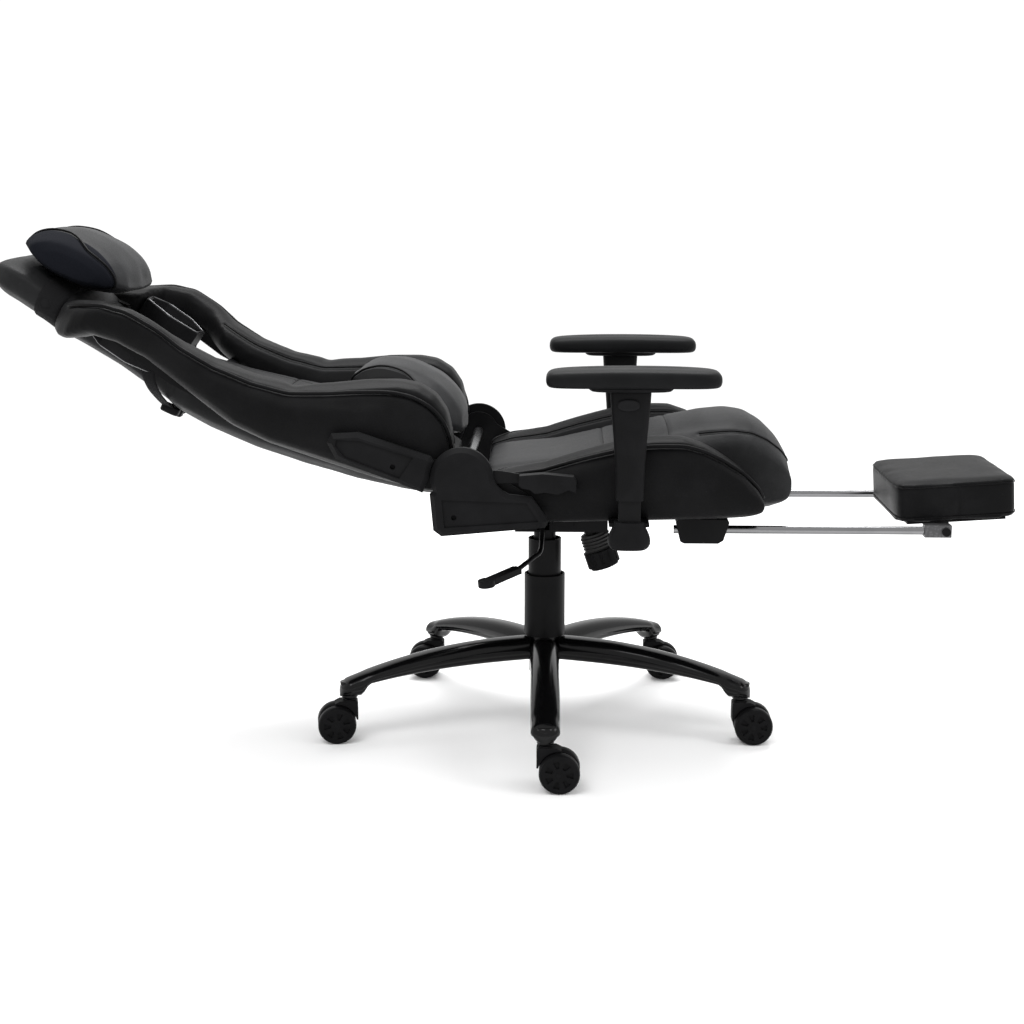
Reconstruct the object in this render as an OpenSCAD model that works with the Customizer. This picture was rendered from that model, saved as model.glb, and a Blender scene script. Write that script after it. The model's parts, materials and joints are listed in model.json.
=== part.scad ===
// Gaming chair with a reclining back, telescopic column and slide-out footrest.
// +X points forward, +Y to the sitter's left and +Z up. The origin lies on the
// swivel axis at floor level. The rest position is the reclined one.

/* [Base and castors] */
// Radius of the circle on which the five castor stems stand
stem_circle_r = 330; // [300:5:345]
// Turn of the base about the column, in degrees
base_turn = 1.05; // [0:0.05:2]
// Width of a leg near the hub
leg_w = 48; // [40:1:50]
// Diameter of a castor wheel
wheel_d = 61; // [58:1:62]
// Distance from a castor's stem to its axle
castor_trail = 21; // [18:1:22]

/* [Column] */
// Outer diameter of the lower cover sleeve
lower_sleeve_d = 67; // [64:1:70]
// Height of the lower sleeve's upper rim
lower_sleeve_top = 255; // [250:1:256]
// Height of the upper sleeve's rim
upper_sleeve_top = 314; // [312:1:318]

/* [Seat] */
// Height of the seat's underside
seat_bottom = 391; // [391:1:392]
// Half of the seat's width over the bolsters
seat_half_w = 238; // [234:1:239]
// Half of the centre pad's width
centre_half_w = 145; // [130:1:150]

/* [Back] */
// Angle from upright at which the back rests
recline_rest = 65; // [60:1:65]
// Half of the back's width over the shoulder wings
wing_half_w = 252; // [240:1:255]

/* [Arms] */
// Distance from the middle plane to the middle of an arm
arm_y = 262; // [261:0.5:264]
// Forward place of the arm posts
arm_x = 128; // [124:1:132]

/* [Footrest] */
// Distance from the middle plane to a footrest rod
rod_y = 157; // [155:1:160]
// Tilt of the footrest pad, front edge up
footrest_tilt = 3.7; // [3:0.1:4]

/* [Hidden] */
$fn = 48;

// Running clearance on the radius of every shaft that turns or slides
run_gap = 0.05;

hub_r = 29;
hub_bottom = 112;
hub_top = 152;
tube_r = 25;
tube_bottom = 88;
tube_top = 245;
cylinder_r = 14;
cylinder_bore_r = 12;
cylinder_bottom = 158;
cylinder_top = 360;
piston_rod_r = 5;
leg_end_r = 345;
boss_bottom = 72;
stem_r = 5.5;
axle_r = 4;
wheel_r = wheel_d / 2;
wheel_w = 20;
wheel_gap = 5;
// Direction in which each castor trails, counted with the legs from the near one
trail_dirs = [0, 0, 0, 180, 189];

pan_bottom = 331;
pan_top = 362;
pan_half_w = 40;
rock_x = 30;
rock_z = 350;
rock_pin_r = 6;
knob_tilt = 19;
knob_x = 77;
plate_half_w = 75;
plate_t = 5;

recline_x = -120;
recline_z = 455;
recline_rod_r = 8;
side_plate_y = 236.5;
side_plate_t = 4;
arm_plate_y = 241.2;
lever_y = 246;
lever_t = 3;
cover_y = 249.5;
cover_t = 14.5;
dome_r = 47;

rod_r = 6.5;
rod_z = 361;
foot_pivot_x = 615.5;
foot_pin_r = 4;

function leg_angle(k) = -90 + base_turn + 72 * (k - 1);
function polar(r, a) = [r * cos(a), r * sin(a)];

// Rounded-rectangle ring: m points of a superellipse with half sizes a and b
function squircle(a, b, e = 4, m = 16) = [
    for (i = [0:m - 1])
        let (t = 360 * (i + 0.5) / m, c = cos(t), s = sin(t))
            [a * sign(c) * pow(abs(c), 2 / e), b * sign(s) * pow(abs(s), 2 / e)]
];

// Closed skin over rings of equal point count, with a fan on each end ring
module skin(rings) {
    n = len(rings);
    m = len(rings[0]);
    mid = function (ring) [for (k = [0:2]) [for (p = ring) p[k]] * [for (p = ring) 1 / m]];
    points = [for (ring = rings) each ring, mid(rings[0]), mid(rings[n - 1])];
    sides = [for (j = [0:n - 2], i = [0:m - 1])
        let (a = j * m + i, b = j * m + (i + 1) % m) each [[a, b, b + m], [a, b + m, a + m]]];
    first = [for (i = [0:m - 1]) [(i + 1) % m, i, n * m]];
    last = [for (i = [0:m - 1]) [(n - 1) * m + i, (n - 1) * m + (i + 1) % m, n * m + 1]];
    polyhedron(points, concat(sides, first, last));
}

// Outline drawn in the X-Z plane, from y to y + t on the left side
module side_sheet(y, t) {
    translate([0, y + t, 0]) rotate([90, 0, 0]) linear_extrude(t) children();
}

module both_sides() {
    children();
    mirror([0, 1, 0]) children();
}

// ---- Base -------------------------------------------------------------

module base_hub() color([0.03, 0.03, 0.035]) {
    difference() {
        translate([0, 0, hub_bottom]) cylinder(r = hub_r, h = hub_top - hub_bottom);
        translate([0, 0, hub_bottom - 1]) cylinder(r = tube_r, h = hub_top - hub_bottom + 2);
    }
}

function leg_top(r) = 150 - 47 * pow(max(r - 38, 0) / 295, 2.2);
function leg_under(r) = 111 - 25 * pow(max(r - 38, 0) / 295, 2.5);

module base_leg(k) color([0.03, 0.03, 0.035]) rotate([0, 0, leg_angle(k)]) {
    radii = [20, 38, 80, 120, 160, 200, 240, 280, 315, leg_end_r];
    last = len(radii) - 1;
    root_w = leg_w / 2;
    tip_w = root_w - 2;
    difference() {
        union() {
            intersection() {
                translate([0, 50, 0]) rotate([90, 0, 0]) linear_extrude(100)
                    polygon([for (r = radii) [r, leg_top(r)],
                             for (i = [0:last]) [radii[last - i], leg_under(radii[last - i])]]);
                translate([0, 0, 60]) linear_extrude(100)
                    polygon([[20, -14], [root_w * 1.38, -root_w], [leg_end_r - 10, -tip_w],
                             [leg_end_r, -tip_w / 2], [leg_end_r, tip_w / 2],
                             [leg_end_r - 10, tip_w], [root_w * 1.38, root_w], [20, 14]]);
            }
            translate([stem_circle_r, 0, boss_bottom]) cylinder(r = 13, h = 28);
        }
        translate([0, 0, hub_bottom - 5]) cylinder(r = hub_r, h = 60);
        translate([stem_circle_r, 0, boss_bottom - 1]) cylinder(r = stem_r + run_gap, h = 27);
    }
}

// Moves a castor from its own axes, stem on Z and trail along X, to its leg
module at_castor(k) {
    translate(polar(stem_circle_r, leg_angle(k))) rotate([0, 0, trail_dirs[k - 1]]) children();
}

module castor_yoke(k) color([0.05, 0.05, 0.055]) at_castor(k) {
    web = 2 * wheel_gap - 2;
    flag_w = 24;
    translate([0, 0, 58]) cylinder(r = stem_r, h = 38);
    translate([0, 0, 60]) cylinder(r = 11, h = 10);
    translate([castor_trail, web / 2, wheel_r]) rotate([90, 0, 0]) cylinder(r = 24, h = web);
    translate([-8, -web / 2, 30]) cube([30, web, 32]);
    translate([castor_trail, wheel_gap + wheel_w, wheel_r])
        rotate([90, 0, 0]) cylinder(r = axle_r, h = 2 * (wheel_gap + wheel_w));
    difference() {
        translate([0, flag_w / 2, 0]) rotate([90, 0, 0]) linear_extrude(flag_w)
            polygon([[-13, 37], [-13, 66], [-10, 68], [16, 68], [24, 64], [24, 37]]);
        translate([castor_trail, 30, wheel_r]) rotate([90, 0, 0])
            cylinder(r = wheel_r + 1.5, h = 60);
    }
}

module wheel() rotate([90, 0, 0]) {
    difference() {
        rotate_extrude() polygon([[0, 0], [wheel_r - 4, 0], [wheel_r - 1, 2], [wheel_r, 6],
                                  [wheel_r, 15], [wheel_r - 2, 19], [wheel_r - 6, wheel_w],
                                  [0, wheel_w]]);
        translate([0, 0, -1]) cylinder(r = axle_r + run_gap, h = wheel_w + 2);
        for (i = [0:6]) rotate([0, 0, 360 * i / 7]) translate([15.5, 0, wheel_w - 3])
            linear_extrude(4) polygon([[-5, -2.2], [5.5, -5], [5.5, 5], [-5, 2.2]]);
    }
}

module castor_wheels(k) color([0.06, 0.06, 0.065]) at_castor(k)
    translate([castor_trail, 0, wheel_r]) both_sides()
        mirror([0, 1, 0]) translate([0, -wheel_gap, 0]) wheel();

// ---- Column -----------------------------------------------------------

module stand_tube() color([0.04, 0.04, 0.045]) translate([0, 0, tube_bottom]) {
    bush_h = 40;
    height = tube_top - tube_bottom;
    difference() {
        cylinder(r = tube_r, h = height);
        translate([0, 0, 4]) cylinder(r = 21, h = height - bush_h - 4);
        translate([0, 0, 4]) cylinder(r = cylinder_r + run_gap, h = height);
    }
}

module lower_sleeve() color([0.04, 0.04, 0.045]) {
    wall = 3;
    difference() {
        translate([0, 0, hub_top]) cylinder(d = lower_sleeve_d, h = lower_sleeve_top - hub_top);
        translate([0, 0, hub_top - 1])
            cylinder(d = lower_sleeve_d - 2 * wall, h = lower_sleeve_top - hub_top + 2);
    }
    difference() {
        translate([0, 0, hub_top]) cylinder(d = lower_sleeve_d - wall, h = 2);
        translate([0, 0, hub_top - 1]) cylinder(r = tube_r + 0.5, h = 4);
    }
}

module piston_rod() color([0.8, 0.8, 0.82]) {
    foot = tube_bottom + 4.3;
    translate([0, 0, foot]) cylinder(r = piston_rod_r, h = 150);
    translate([0, 0, foot]) cylinder(r = 12, h = 4);
    translate([0, 0, 240]) cylinder(r = cylinder_bore_r - run_gap, h = 12);
}

module gas_cylinder() color([0.75, 0.75, 0.78]) difference() {
    translate([0, 0, cylinder_bottom]) cylinder(r = cylinder_r, h = cylinder_top - cylinder_bottom);
    translate([0, 0, cylinder_bottom + 8])
        cylinder(r = cylinder_bore_r, h = cylinder_top - cylinder_bottom - 20);
    translate([0, 0, cylinder_bottom - 1]) cylinder(r = piston_rod_r + run_gap, h = 12);
    translate([0, 0, cylinder_top - 14]) cylinder(r = 3 + run_gap, h = 16);
}

module valve_pin() color([0.8, 0.8, 0.82])
    translate([0, 0, cylinder_top - 6]) cylinder(r = 3, h = 10);

module upper_sleeve() color([0.04, 0.04, 0.045]) difference() {
    bottom = 216;
    bush_bottom = 307;
    translate([0, 0, bottom]) cylinder(r = 27, h = upper_sleeve_top - bottom);
    translate([0, 0, bottom - 1]) cylinder(r = tube_r + 0.5, h = bush_bottom - bottom + 1);
    translate([0, 0, bottom]) cylinder(r = cylinder_r, h = 120);
    translate([0, 0, 306]) cylinder(r = tube_r, h = 20);
}

// ---- Tilt mechanism ---------------------------------------------------

module knob_axis(s) translate([knob_x, 0, pan_bottom]) rotate([0, 180 - knob_tilt, 0])
    translate([0, 0, s]) children();

module tilt_housing() color([0.05, 0.05, 0.055]) difference() {
    union() {
        difference() {
            translate([-48, -pan_half_w, pan_bottom])
                cube([150, 2 * pan_half_w, pan_top - pan_bottom]);
            translate([-45, -pan_half_w + 3, pan_bottom + 3])
                cube([144, 2 * pan_half_w - 6, pan_top - pan_bottom]);
        }
        translate([0, 0, 308]) cylinder(r = 18, h = pan_top - 308);
        knob_axis(-6) cylinder(r = 15, h = 13.5);
    }
    translate([0, 0, 300]) cylinder(r = cylinder_r, h = 80);
    knob_axis(-30) cylinder(r = 4 + run_gap, h = 60);
    translate([rock_x, 60, rock_z]) rotate([90, 0, 0]) cylinder(r = rock_pin_r, h = 120);
    translate([-12, -pan_half_w - 1, pan_bottom + 3]) cube([20, 5, 40]);
    translate([-12, -pan_half_w - 1, 338]) cube([20, 30, 40]);
}

lever_r = 3.8;
lever_pin_r = 3;
lever_path = [[0, 6, 368], [-1, -16, 368], [-3, -40, 352], [-4, -62, 324], [-6, -110, 314],
              [-18, -134, 308], [-40, -166, 297]];

// Bracket that slides out with the lever and carries its pin between two ears
module tilt_lock_slider() color([0.6, 0.6, 0.62]) difference() {
    translate([-11, -46, 343]) cube([16, 13, 15]);
    translate([-8.5, -47, 347]) cube([11, 15, 20]);
    translate([-8.5, -47, 342]) cube([11, 9, 20]);
    translate([-20, lever_path[2][1], lever_path[2][2]]) rotate([0, 90, 0])
        cylinder(r = lever_pin_r + run_gap, h = 40);
}

// Round bar from a to b, run a little past both ends
module round_bar(a, b, r) {
    run = b - a;
    over = 1.5;
    translate(a) rotate([0, 0, atan2(run[1], run[0])])
        rotate([0, atan2(norm([run[0], run[1]]), run[2]), 0])
            translate([0, 0, -over]) cylinder(r = r, h = norm(run) + 2 * over);
}

module height_lever_rod() color([0.05, 0.05, 0.055]) {
    for (i = [0:len(lever_path) - 2])
        round_bar(lever_path[i], lever_path[i + 1], lever_r - (i % 2) * 0.4);
    translate([-10.5, lever_path[2][1], lever_path[2][2]]) rotate([0, 90, 0])
        cylinder(r = lever_pin_r, h = 15);
}

module height_lever_grip() color([0.06, 0.06, 0.065]) {
    start = lever_path[6];
    tip = [-92, -228, 287];
    run = tip - start;
    translate(start) rotate([0, 0, atan2(run[1], run[0])])
        rotate([0, atan2(-run[2], norm([run[0], run[1]])), 0])
            difference() {
                union() {
                    translate([0, -9, -5]) cube([norm(run) - 10, 18, 10]);
                    translate([norm(run) - 10, 0, -5]) cylinder(r = 13, h = 10);
                    translate([2, 0, 0]) rotate([0, 90, 0]) cylinder(r = 7, h = 24);
                }
                translate([-8, 0, 0]) rotate([0, 90, 0]) cylinder(r = lever_r, h = 16);
            }
}

module tension_knob() color([0.05, 0.05, 0.055]) {
    knob_axis(-4) cylinder(r = 4, h = 50);
    knob_axis(38) difference() {
        union() {
            cylinder(r = 27, h = 26);
            translate([0, 0, 26]) cylinder(r = 23, h = 4);
        }
        for (i = [0:11]) rotate([0, 0, 30 * i]) translate([28, 0, -1]) cylinder(r = 2.5, h = 22);
    }
}

module tension_spring() color([0.6, 0.6, 0.62]) {
    turns = 4;
    steps = 12 * turns;
    coil_r = 11;
    wire_r = 1.6;
    rings = [for (i = [0:steps])
        let (a = 360 * i / 12, z = 11 + 22 * i / steps)
            [for (p = squircle(wire_r, wire_r, 2, 6))
                [(coil_r + p[0]) * cos(a), (coil_r + p[0]) * sin(a), z + p[1]]]];
    knob_axis(0) skin(rings);
}

module spring_boot() color([0.03, 0.03, 0.03]) knob_axis(8.2) rotate_extrude()
    polygon([[14, 0], for (i = [0:4]) each [[i == 0 ? 22 : 25, 5.6 * i + 0.4], [22.4, 5.6 * i + 4]],
             [25, 28.4], [14, 28.8]]);

module tilt_pivot_pin() color([0.7, 0.7, 0.72])
    translate([rock_x, 47, rock_z]) rotate([90, 0, 0]) cylinder(r = rock_pin_r, h = 94);

module tilt_plate() color([0.06, 0.06, 0.065]) {
    translate([-110, -plate_half_w, seat_bottom - plate_t])
        cube([240, 2 * plate_half_w, plate_t]);
    both_sides() difference() {
        translate([rock_x - 16, pan_half_w + 0.6, 340]) cube([32, 4, seat_bottom - 340]);
        translate([rock_x, 60, rock_z]) rotate([90, 0, 0])
            cylinder(r = rock_pin_r + run_gap, h = 40);
    }
}

// ---- Seat -------------------------------------------------------------

module seat_frame() color([0.1, 0.1, 0.1]) {
    bar_w = 20;
    difference() {
        translate([-92, -195, seat_bottom]) cube([392, 390, bar_w]);
        translate([-92 + bar_w, -195 + bar_w, seat_bottom - 1]) cube([352, 350, bar_w + 2]);
    }
    for (x = [-20, 80, 180]) translate([x, -180, seat_bottom]) cube([bar_w, 360, bar_w]);
    both_sides() difference() {
        union() {
            side_sheet(side_plate_y, side_plate_t) union() {
                translate([recline_x, recline_z]) circle(r = 34);
                polygon([[-160, 380], [-4, 385], [-24, 430], [-92, 470], [-152, 455]]);
            }
            translate([-80, 190, seat_bottom - 5]) cube([70, side_plate_y - 188, 5]);
        }
        translate([recline_x, 300, recline_z]) rotate([90, 0, 0])
            cylinder(r = recline_rod_r, h = 100);
    }
}

// Cross-section rings of the seat: rows of [x, bottom, top, half width]
module seat_pad() color([0.1, 0.1, 0.105]) {
    rows = [[-95, 400, 440, 130], [-90, 391.5, 450, 143], [-40, 391, 456, centre_half_w],
            [20, 391, 462, centre_half_w], [80, 391, 476, centre_half_w],
            [140, 391, 491, centre_half_w], [200, 391, 510, centre_half_w],
            [250, 391, 521, centre_half_w], [290, 391, 525, centre_half_w],
            [322, 390, 521, centre_half_w], [348, 388, 506, 144], [368, 391, 484, 142],
            [381, 399, 460, 139], [386, 412, 440, 132]];
    skin([for (row = rows)
        [for (p = squircle(row[3], (row[2] - row[1]) / 2, 7, 24))
            [row[0], p[0], p[1] + (row[1] + row[2]) / 2]]]);
}

// Rows of [x, bottom, top, outer distance]; the inner side follows the pad
module seat_bolster() color([0.07, 0.07, 0.075]) {
    inner = centre_half_w - 2;
    rows = [[-98, 402, 436, 228], [-93, 392, 447, 234], [-60, 391, 459, 235.5],
            [0, 391, 468, 235.5], [55, 391, 487, seat_half_w], [114, 391, 504, seat_half_w],
            [160, 391, 511, seat_half_w], [210, 391, 512, seat_half_w],
            [240, 391, 502, seat_half_w], [268, 392, 486, seat_half_w],
            [300, 393, 462, seat_half_w], [322, 395, 437, seat_half_w - 2],
            [334, 400, 415, seat_half_w - 8]];
    skin([for (row = rows)
        [for (p = squircle((row[3] - inner) / 2, (row[2] - row[1]) / 2, 3.4, 18))
            [row[0], p[0] + (inner + row[3]) / 2, p[1] + (row[1] + row[2]) / 2]]]);
}

module seat_bolster_left() seat_bolster();
module seat_bolster_right() mirror([0, 1, 0]) seat_bolster();

module recliner_covers() color([0.05, 0.05, 0.055]) both_sides() {
    difference() {
        side_sheet(cover_y, cover_t) union() {
            polygon([[-168, 432], [-163, 377], [-151, 368], [3, 382], [9, 392], [-16, 428],
                     [-50, 432], [-61, 438], [-69, 447], [-78, 465], [-86, 478], [-120, 470]]);
            translate([recline_x, recline_z]) circle(r = dome_r);
        }
        side_sheet(cover_y + cover_t - 3, 4)
            polygon([[-150, 424], [-146, 382], [-6, 392], [-24, 420]]);
        translate([-132, 300, 397]) rotate([90, 0, 0]) cylinder(r = 4, h = 45);
    }
    side_sheet(side_plate_y + side_plate_t, cover_y - side_plate_y - side_plate_t)
        polygon([[-158, 415], [-156, 378], [-2, 388], [-12, 415]]);
}

module recliner_rod() color([0.75, 0.75, 0.78])
    translate([recline_x, lever_y + lever_t, recline_z])
        rotate([90, 0, 0]) cylinder(r = recline_rod_r, h = 2 * (lever_y + lever_t));

module recline_lever() color([0.7, 0.7, 0.72]) mirror([0, 1, 0]) difference() {
    side_sheet(lever_y, lever_t) union() {
        translate([recline_x, recline_z]) circle(r = 16);
        polygon([[recline_x, recline_z - 12], [-60, 447], [-26, 448], [-26, 460],
                 [-60, 466], [recline_x, recline_z + 14]]);
    }
    translate([recline_x, 300, recline_z]) rotate([90, 0, 0])
        cylinder(r = recline_rod_r + run_gap, h = 100);
}

module recline_grip() color([0.06, 0.06, 0.065]) mirror([0, 1, 0]) difference() {
    side_sheet(lever_y - 2, 20)
        polygon([[-36, 447], [-35, 461], [0, 464], [46, 460], [50, 452], [49, 436], [38, 440],
                 [22, 433], [3, 436], [-12, 434], [-19, 440], [-31, 442]]);
    side_sheet(lever_y, lever_t) polygon([[-60, 447], [-26, 448], [-26, 460], [-60, 466]]);
}

// ---- Back: modelled upright about the recline axis, then laid back --------

module lay_back() translate([recline_x, 0, recline_z]) rotate([0, -recline_rest, 0]) children();

module back_frame() color([0.1, 0.1, 0.1]) lay_back() {
    upright_y = 192;
    both_sides() {
        side_sheet(upright_y, 18)
            polygon([[-38, 45], [-40, 200], [-72, 330], [-64, 460], [-42, 560], [-52, 632],
                     [-34, 632], [-24, 560], [-46, 460], [-54, 330], [-22, 200], [-20, 45]]);
        translate([-52, 84, 618]) cube([18, 18, 166]);
        difference() {
            side_sheet(arm_plate_y, side_plate_t) union() {
                circle(r = 24);
                polygon([[-22, 0], [22, 0], [4, 60], [-12, 160], [-24, 196], [-40, 196],
                         [-44, 60]]);
            }
            translate([0, 300, 0]) rotate([90, 0, 0])
                cylinder(r = recline_rod_r + run_gap, h = 100);
        }
        for (z = [80, 164])
            translate([-34, upright_y + 9, z]) cube([12, arm_plate_y - upright_y - 7, 12]);
    }
    for (p = [[-36, 100, 196], [-64, 420, 196], [-50, 616, 196], [-50, 770, 90]])
        translate([p[0], -p[2], p[1]]) cube([12, 2 * p[2], 15]);
}

module hinge_arm_covers() color([0.05, 0.05, 0.055]) lay_back() both_sides() {
    difference() {
        side_sheet(cover_y, cover_t)
            polygon([[-44, 44], [4, 46], [11, 56], [-2, 167], [-21, 203], [-36, 203],
                     [-52, 182], [-53, 160], [-46, 82]]);
        side_sheet(cover_y + cover_t - 3, 4)
            polygon([[-38, 84], [-1, 78], [-12, 160], [-25, 192], [-34, 190], [-44, 170]]);
        translate([0, 300, 0]) rotate([90, 0, 0]) cylinder(r = dome_r + 1.5, h = 100);
        translate([-27, 300, 100]) rotate([90, 0, 0]) cylinder(r = 4, h = 45);
    }
    side_sheet(arm_plate_y + side_plate_t, cover_y - arm_plate_y - side_plate_t)
        polygon([[-38, 60], [-4, 60], [-16, 160], [-28, 188], [-38, 180]]);
}

// Hexagonal outline of a belt hole in the Y-Z plane, grown by g
function belt_hole(g) = [[92 - g, 552], [108, 502 - g], [150, 498 - g], [184 + g, 530],
                         [184 + g, 578], [150, 604 + g], [110, 600 + g]];

// Rows of [height, rear, front, half width]
module back_pad() color([0.1, 0.1, 0.105]) lay_back() {
    rows = [[14, -58, -8, 118], [20, -68, 2, 126], [80, -84, 5, 132], [150, -100, 2, 132],
            [230, -113, -6, 132], [310, -122, -26, 130], [390, -124, -44, 128],
            [460, -120, -54, 122], [500, -112, -57, 90], [560, -100, -55, 88],
            [605, -92, -48, 104], [640, -84, -34, 138], [690, -74, -20, 141],
            [735, -68, -11, 138], [765, -66, -12, 130], [786, -63, -17, 116],
            [799, -56, -30, 90]];
    skin([for (row = rows)
        [for (p = squircle((row[2] - row[1]) / 2, row[3], 4.5, 20))
            [p[0] + (row[1] + row[2]) / 2, p[1], row[0]]]]);
}

// Rows of [height, rear, front, inner distance, outer distance]
module back_bolster() color([0.07, 0.07, 0.075]) lay_back() {
    rows = [[22, -38, 4, 136, 222], [28, -47, 26, 132, 232], [42, -52, 50, 130, 235.5],
            [60, -55, 75, 130, 235.5], [86, -59, 91, 130, 235.5],
            [116, -65, 95, 130, 235.5], [145, -69, 87, 130, 235.5],
            [183, -73, 66, 130, 235.5], [234, -78, 35, 130, 238],
            [286, -84, 8, 130, 238], [344, -82, -6, 128, 236], [406, -66, -11, 128, 236],
            [462, -50, -6, 140, 242], [500, -38, 6, 184, 248],
            [551, -34, 17, 192, wing_half_w], [588, -42, 8, 188, 248],
            [606, -58, 1, 112, 242], [626, -74, -10, 106, 228], [644, -79, -20, 102, 200],
            [660, -76, -30, 104, 164]];
    skin([for (row = rows)
        [for (p = squircle((row[2] - row[1]) / 2, (row[4] - row[3]) / 2, 3.4, 16))
            [p[0] + (row[1] + row[2]) / 2, p[1] + (row[3] + row[4]) / 2, row[0]]]]);
}

module back_bolster_left() back_bolster();
module back_bolster_right() mirror([0, 1, 0]) back_bolster();

module belt_bezels() color([0.04, 0.04, 0.045]) lay_back() both_sides()
    translate([-44, 0, 550]) rotate([0, 10, 0]) translate([0, 0, -550]) difference() {
        translate([-21, 0, 0]) rotate([0, 90, 0]) rotate([0, 0, 90]) linear_extrude(42)
            polygon(belt_hole(2));
        translate([-30, 0, 0]) rotate([0, 90, 0]) rotate([0, 0, 90]) linear_extrude(60)
            polygon(belt_hole(-5));
    }

module pillow(rows, half_w, e) lay_back() {
    steps = [-1, -0.9, -0.6, 0, 0.6, 0.9, 1];
    sizes = [0.45, 0.74, 0.95, 1, 0.95, 0.74, 0.45];
    mid = [(rows[0][0] + rows[1][0]) / 2, (rows[0][1] + rows[1][1]) / 2];
    half = (rows[1] - rows[0]) / 2;
    skin([for (j = [0:6])
        [for (p = squircle(half[0] * sizes[j], half[1] * sizes[j], e, 16))
            [p[0] + mid[0] - half[0] * (1 - sizes[j]) * 0.6, half_w * steps[j], p[1] + mid[1]]]]);
}

module lumbar_pillow() color([0.14, 0.14, 0.145]) pillow([[6, 18], [100, 230]], 128, 2.6);
module head_pillow() color([0.12, 0.12, 0.125]) pillow([[-8, 584], [66, 778]], 132, 2.8);

// ---- Arms -------------------------------------------------------------

post_w = 33;
post_d = 20;

module arm_brackets() color([0.08, 0.08, 0.085]) both_sides() {
    translate([arm_x - 30, 100, seat_bottom - 6.5]) cube([60, arm_y - 100, 6]);
    translate([arm_x - post_w / 2, arm_y - post_d / 2, 356]) cube([post_w, post_d, 196]);
}

module arm_foot_caps() color([0.05, 0.05, 0.055]) both_sides() difference() {
    side_sheet(arm_y - 22, 44)
        polygon([[arm_x - 26, 352], [arm_x - 31, 360], [arm_x - 30, 368], [arm_x - 19, 384],
                 [arm_x - 18, 394], [arm_x + 18, 394], [arm_x + 19, 384],
                 [arm_x + 30, 368], [arm_x + 31, 360], [arm_x + 26, 352]]);
    translate([arm_x - post_w / 2, arm_y - post_d / 2, 356]) cube([post_w, post_d, 60]);
    translate([arm_x - 40, 100, seat_bottom - 6.5]) cube([80, arm_y - 100, 6]);
}

module arm_sleeve() color([0.05, 0.05, 0.055]) difference() {
    side_sheet(arm_y - 20, 40)
        polygon([[arm_x - 19, 426], [arm_x - 20, 470], [arm_x - 28, 560], [arm_x - 29, 588],
                 [arm_x + 29, 588], [arm_x + 28, 560], [arm_x + 20, 470], [arm_x + 19, 426]]);
    translate([arm_x - post_w / 2 - 0.4, arm_y - post_d / 2 - 0.4, 420])
        cube([post_w + 0.8, post_d + 0.8, 164]);
    translate([arm_x - 21, arm_y + 14, 554]) cube([37, 10, 28]);
}

module arm_sleeve_left() arm_sleeve();
module arm_sleeve_right() mirror([0, 1, 0]) arm_sleeve();

module arm_button() color([0.07, 0.07, 0.075])
    translate([arm_x - 20, arm_y + 17.5, 560]) cube([33, 5.5, 18]);

module arm_button_left() arm_button();
module arm_button_right() mirror([0, 1, 0]) arm_button();

// Rounded outline of an arm pad, shortened and narrowed by g
module arm_outline(g) {
    centre = 132;
    length = 128 - g;
    width = 45 - g;
    polygon([for (p = squircle(length, width, 4.2, 40)) [centre + p[0], arm_y + p[1]]]);
}

module arm_pad() color([0.1, 0.1, 0.105]) {
    translate([0, 0, 588.2]) linear_extrude(6) intersection() {
        arm_outline(2);
        translate([arm_x - 62, arm_y - 50]) square([124, 100]);
    }
    translate([0, 0, 594.2]) linear_extrude(8) arm_outline(4);
    translate([0, 0, 602.2]) linear_extrude(14) arm_outline(0);
    translate([0, 0, 616.2]) linear_extrude(6) arm_outline(5);
}

module arm_pad_left() arm_pad();
module arm_pad_right() mirror([0, 1, 0]) arm_pad();

// ---- Footrest ---------------------------------------------------------

module footrest_brackets() color([0.05, 0.05, 0.055]) both_sides() difference() {
    union() {
        translate([190, rod_y - 22, seat_bottom - 5.5]) cube([115, 46, 5]);
        for (x = [207, 266]) translate([x, rod_y - 10, 374]) cube([16, 20, 14]);
        side_sheet(rod_y - 14, 28)
            polygon([[203, 374], [210, 344], [216, 341], [268, 341], [276, 346], [285, 374],
                     [282, 379], [206, 379]]);
    }
    translate([150, rod_y, rod_z]) rotate([0, 90, 0]) cylinder(r = rod_r + run_gap, h = 180);
}

module footrest_rods() color([0.85, 0.85, 0.87]) both_sides()
    translate([200, rod_y, rod_z]) rotate([0, 90, 0]) cylinder(r = rod_r, h = 396);

module footrest_clamps() color([0.6, 0.6, 0.62]) both_sides() difference() {
    translate([583, rod_y - 10, rod_z - 9]) cube([41, 20, 19]);
    translate([580, rod_y, rod_z]) rotate([0, 90, 0]) cylinder(r = rod_r, h = 16);
    translate([foot_pivot_x, rod_y + 20, rod_z]) rotate([90, 0, 0])
        cylinder(r = foot_pin_r + run_gap, h = 40);
}

module on_footrest() translate([foot_pivot_x, 0, rod_z]) rotate([0, -footrest_tilt, 0]) children();

module footrest_hinge() color([0.1, 0.1, 0.1]) {
    on_footrest() translate([-50, -118, 5]) cube([152, 236, 3]);
    both_sides() {
        on_footrest() translate([-14, 116, -8]) cube([28, 4, 16]);
        on_footrest() translate([0, rod_y + 10, 0]) rotate([90, 0, 0])
            cylinder(r = foot_pin_r, h = rod_y + 10 - 116);
        on_footrest() translate([0, rod_y + 14, 0]) rotate([90, 0, 0]) cylinder(r = 6.5, h = 3.6);
    }
}

module footrest_pad() color([0.08, 0.08, 0.085]) on_footrest() {
    translate([0, 0, 8]) linear_extrude(60)
        polygon([for (p = squircle(95, 126, 9, 40)) [28 + p[0], p[1]]]);
}

// ---- Whole chair ------------------------------------------------------

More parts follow.
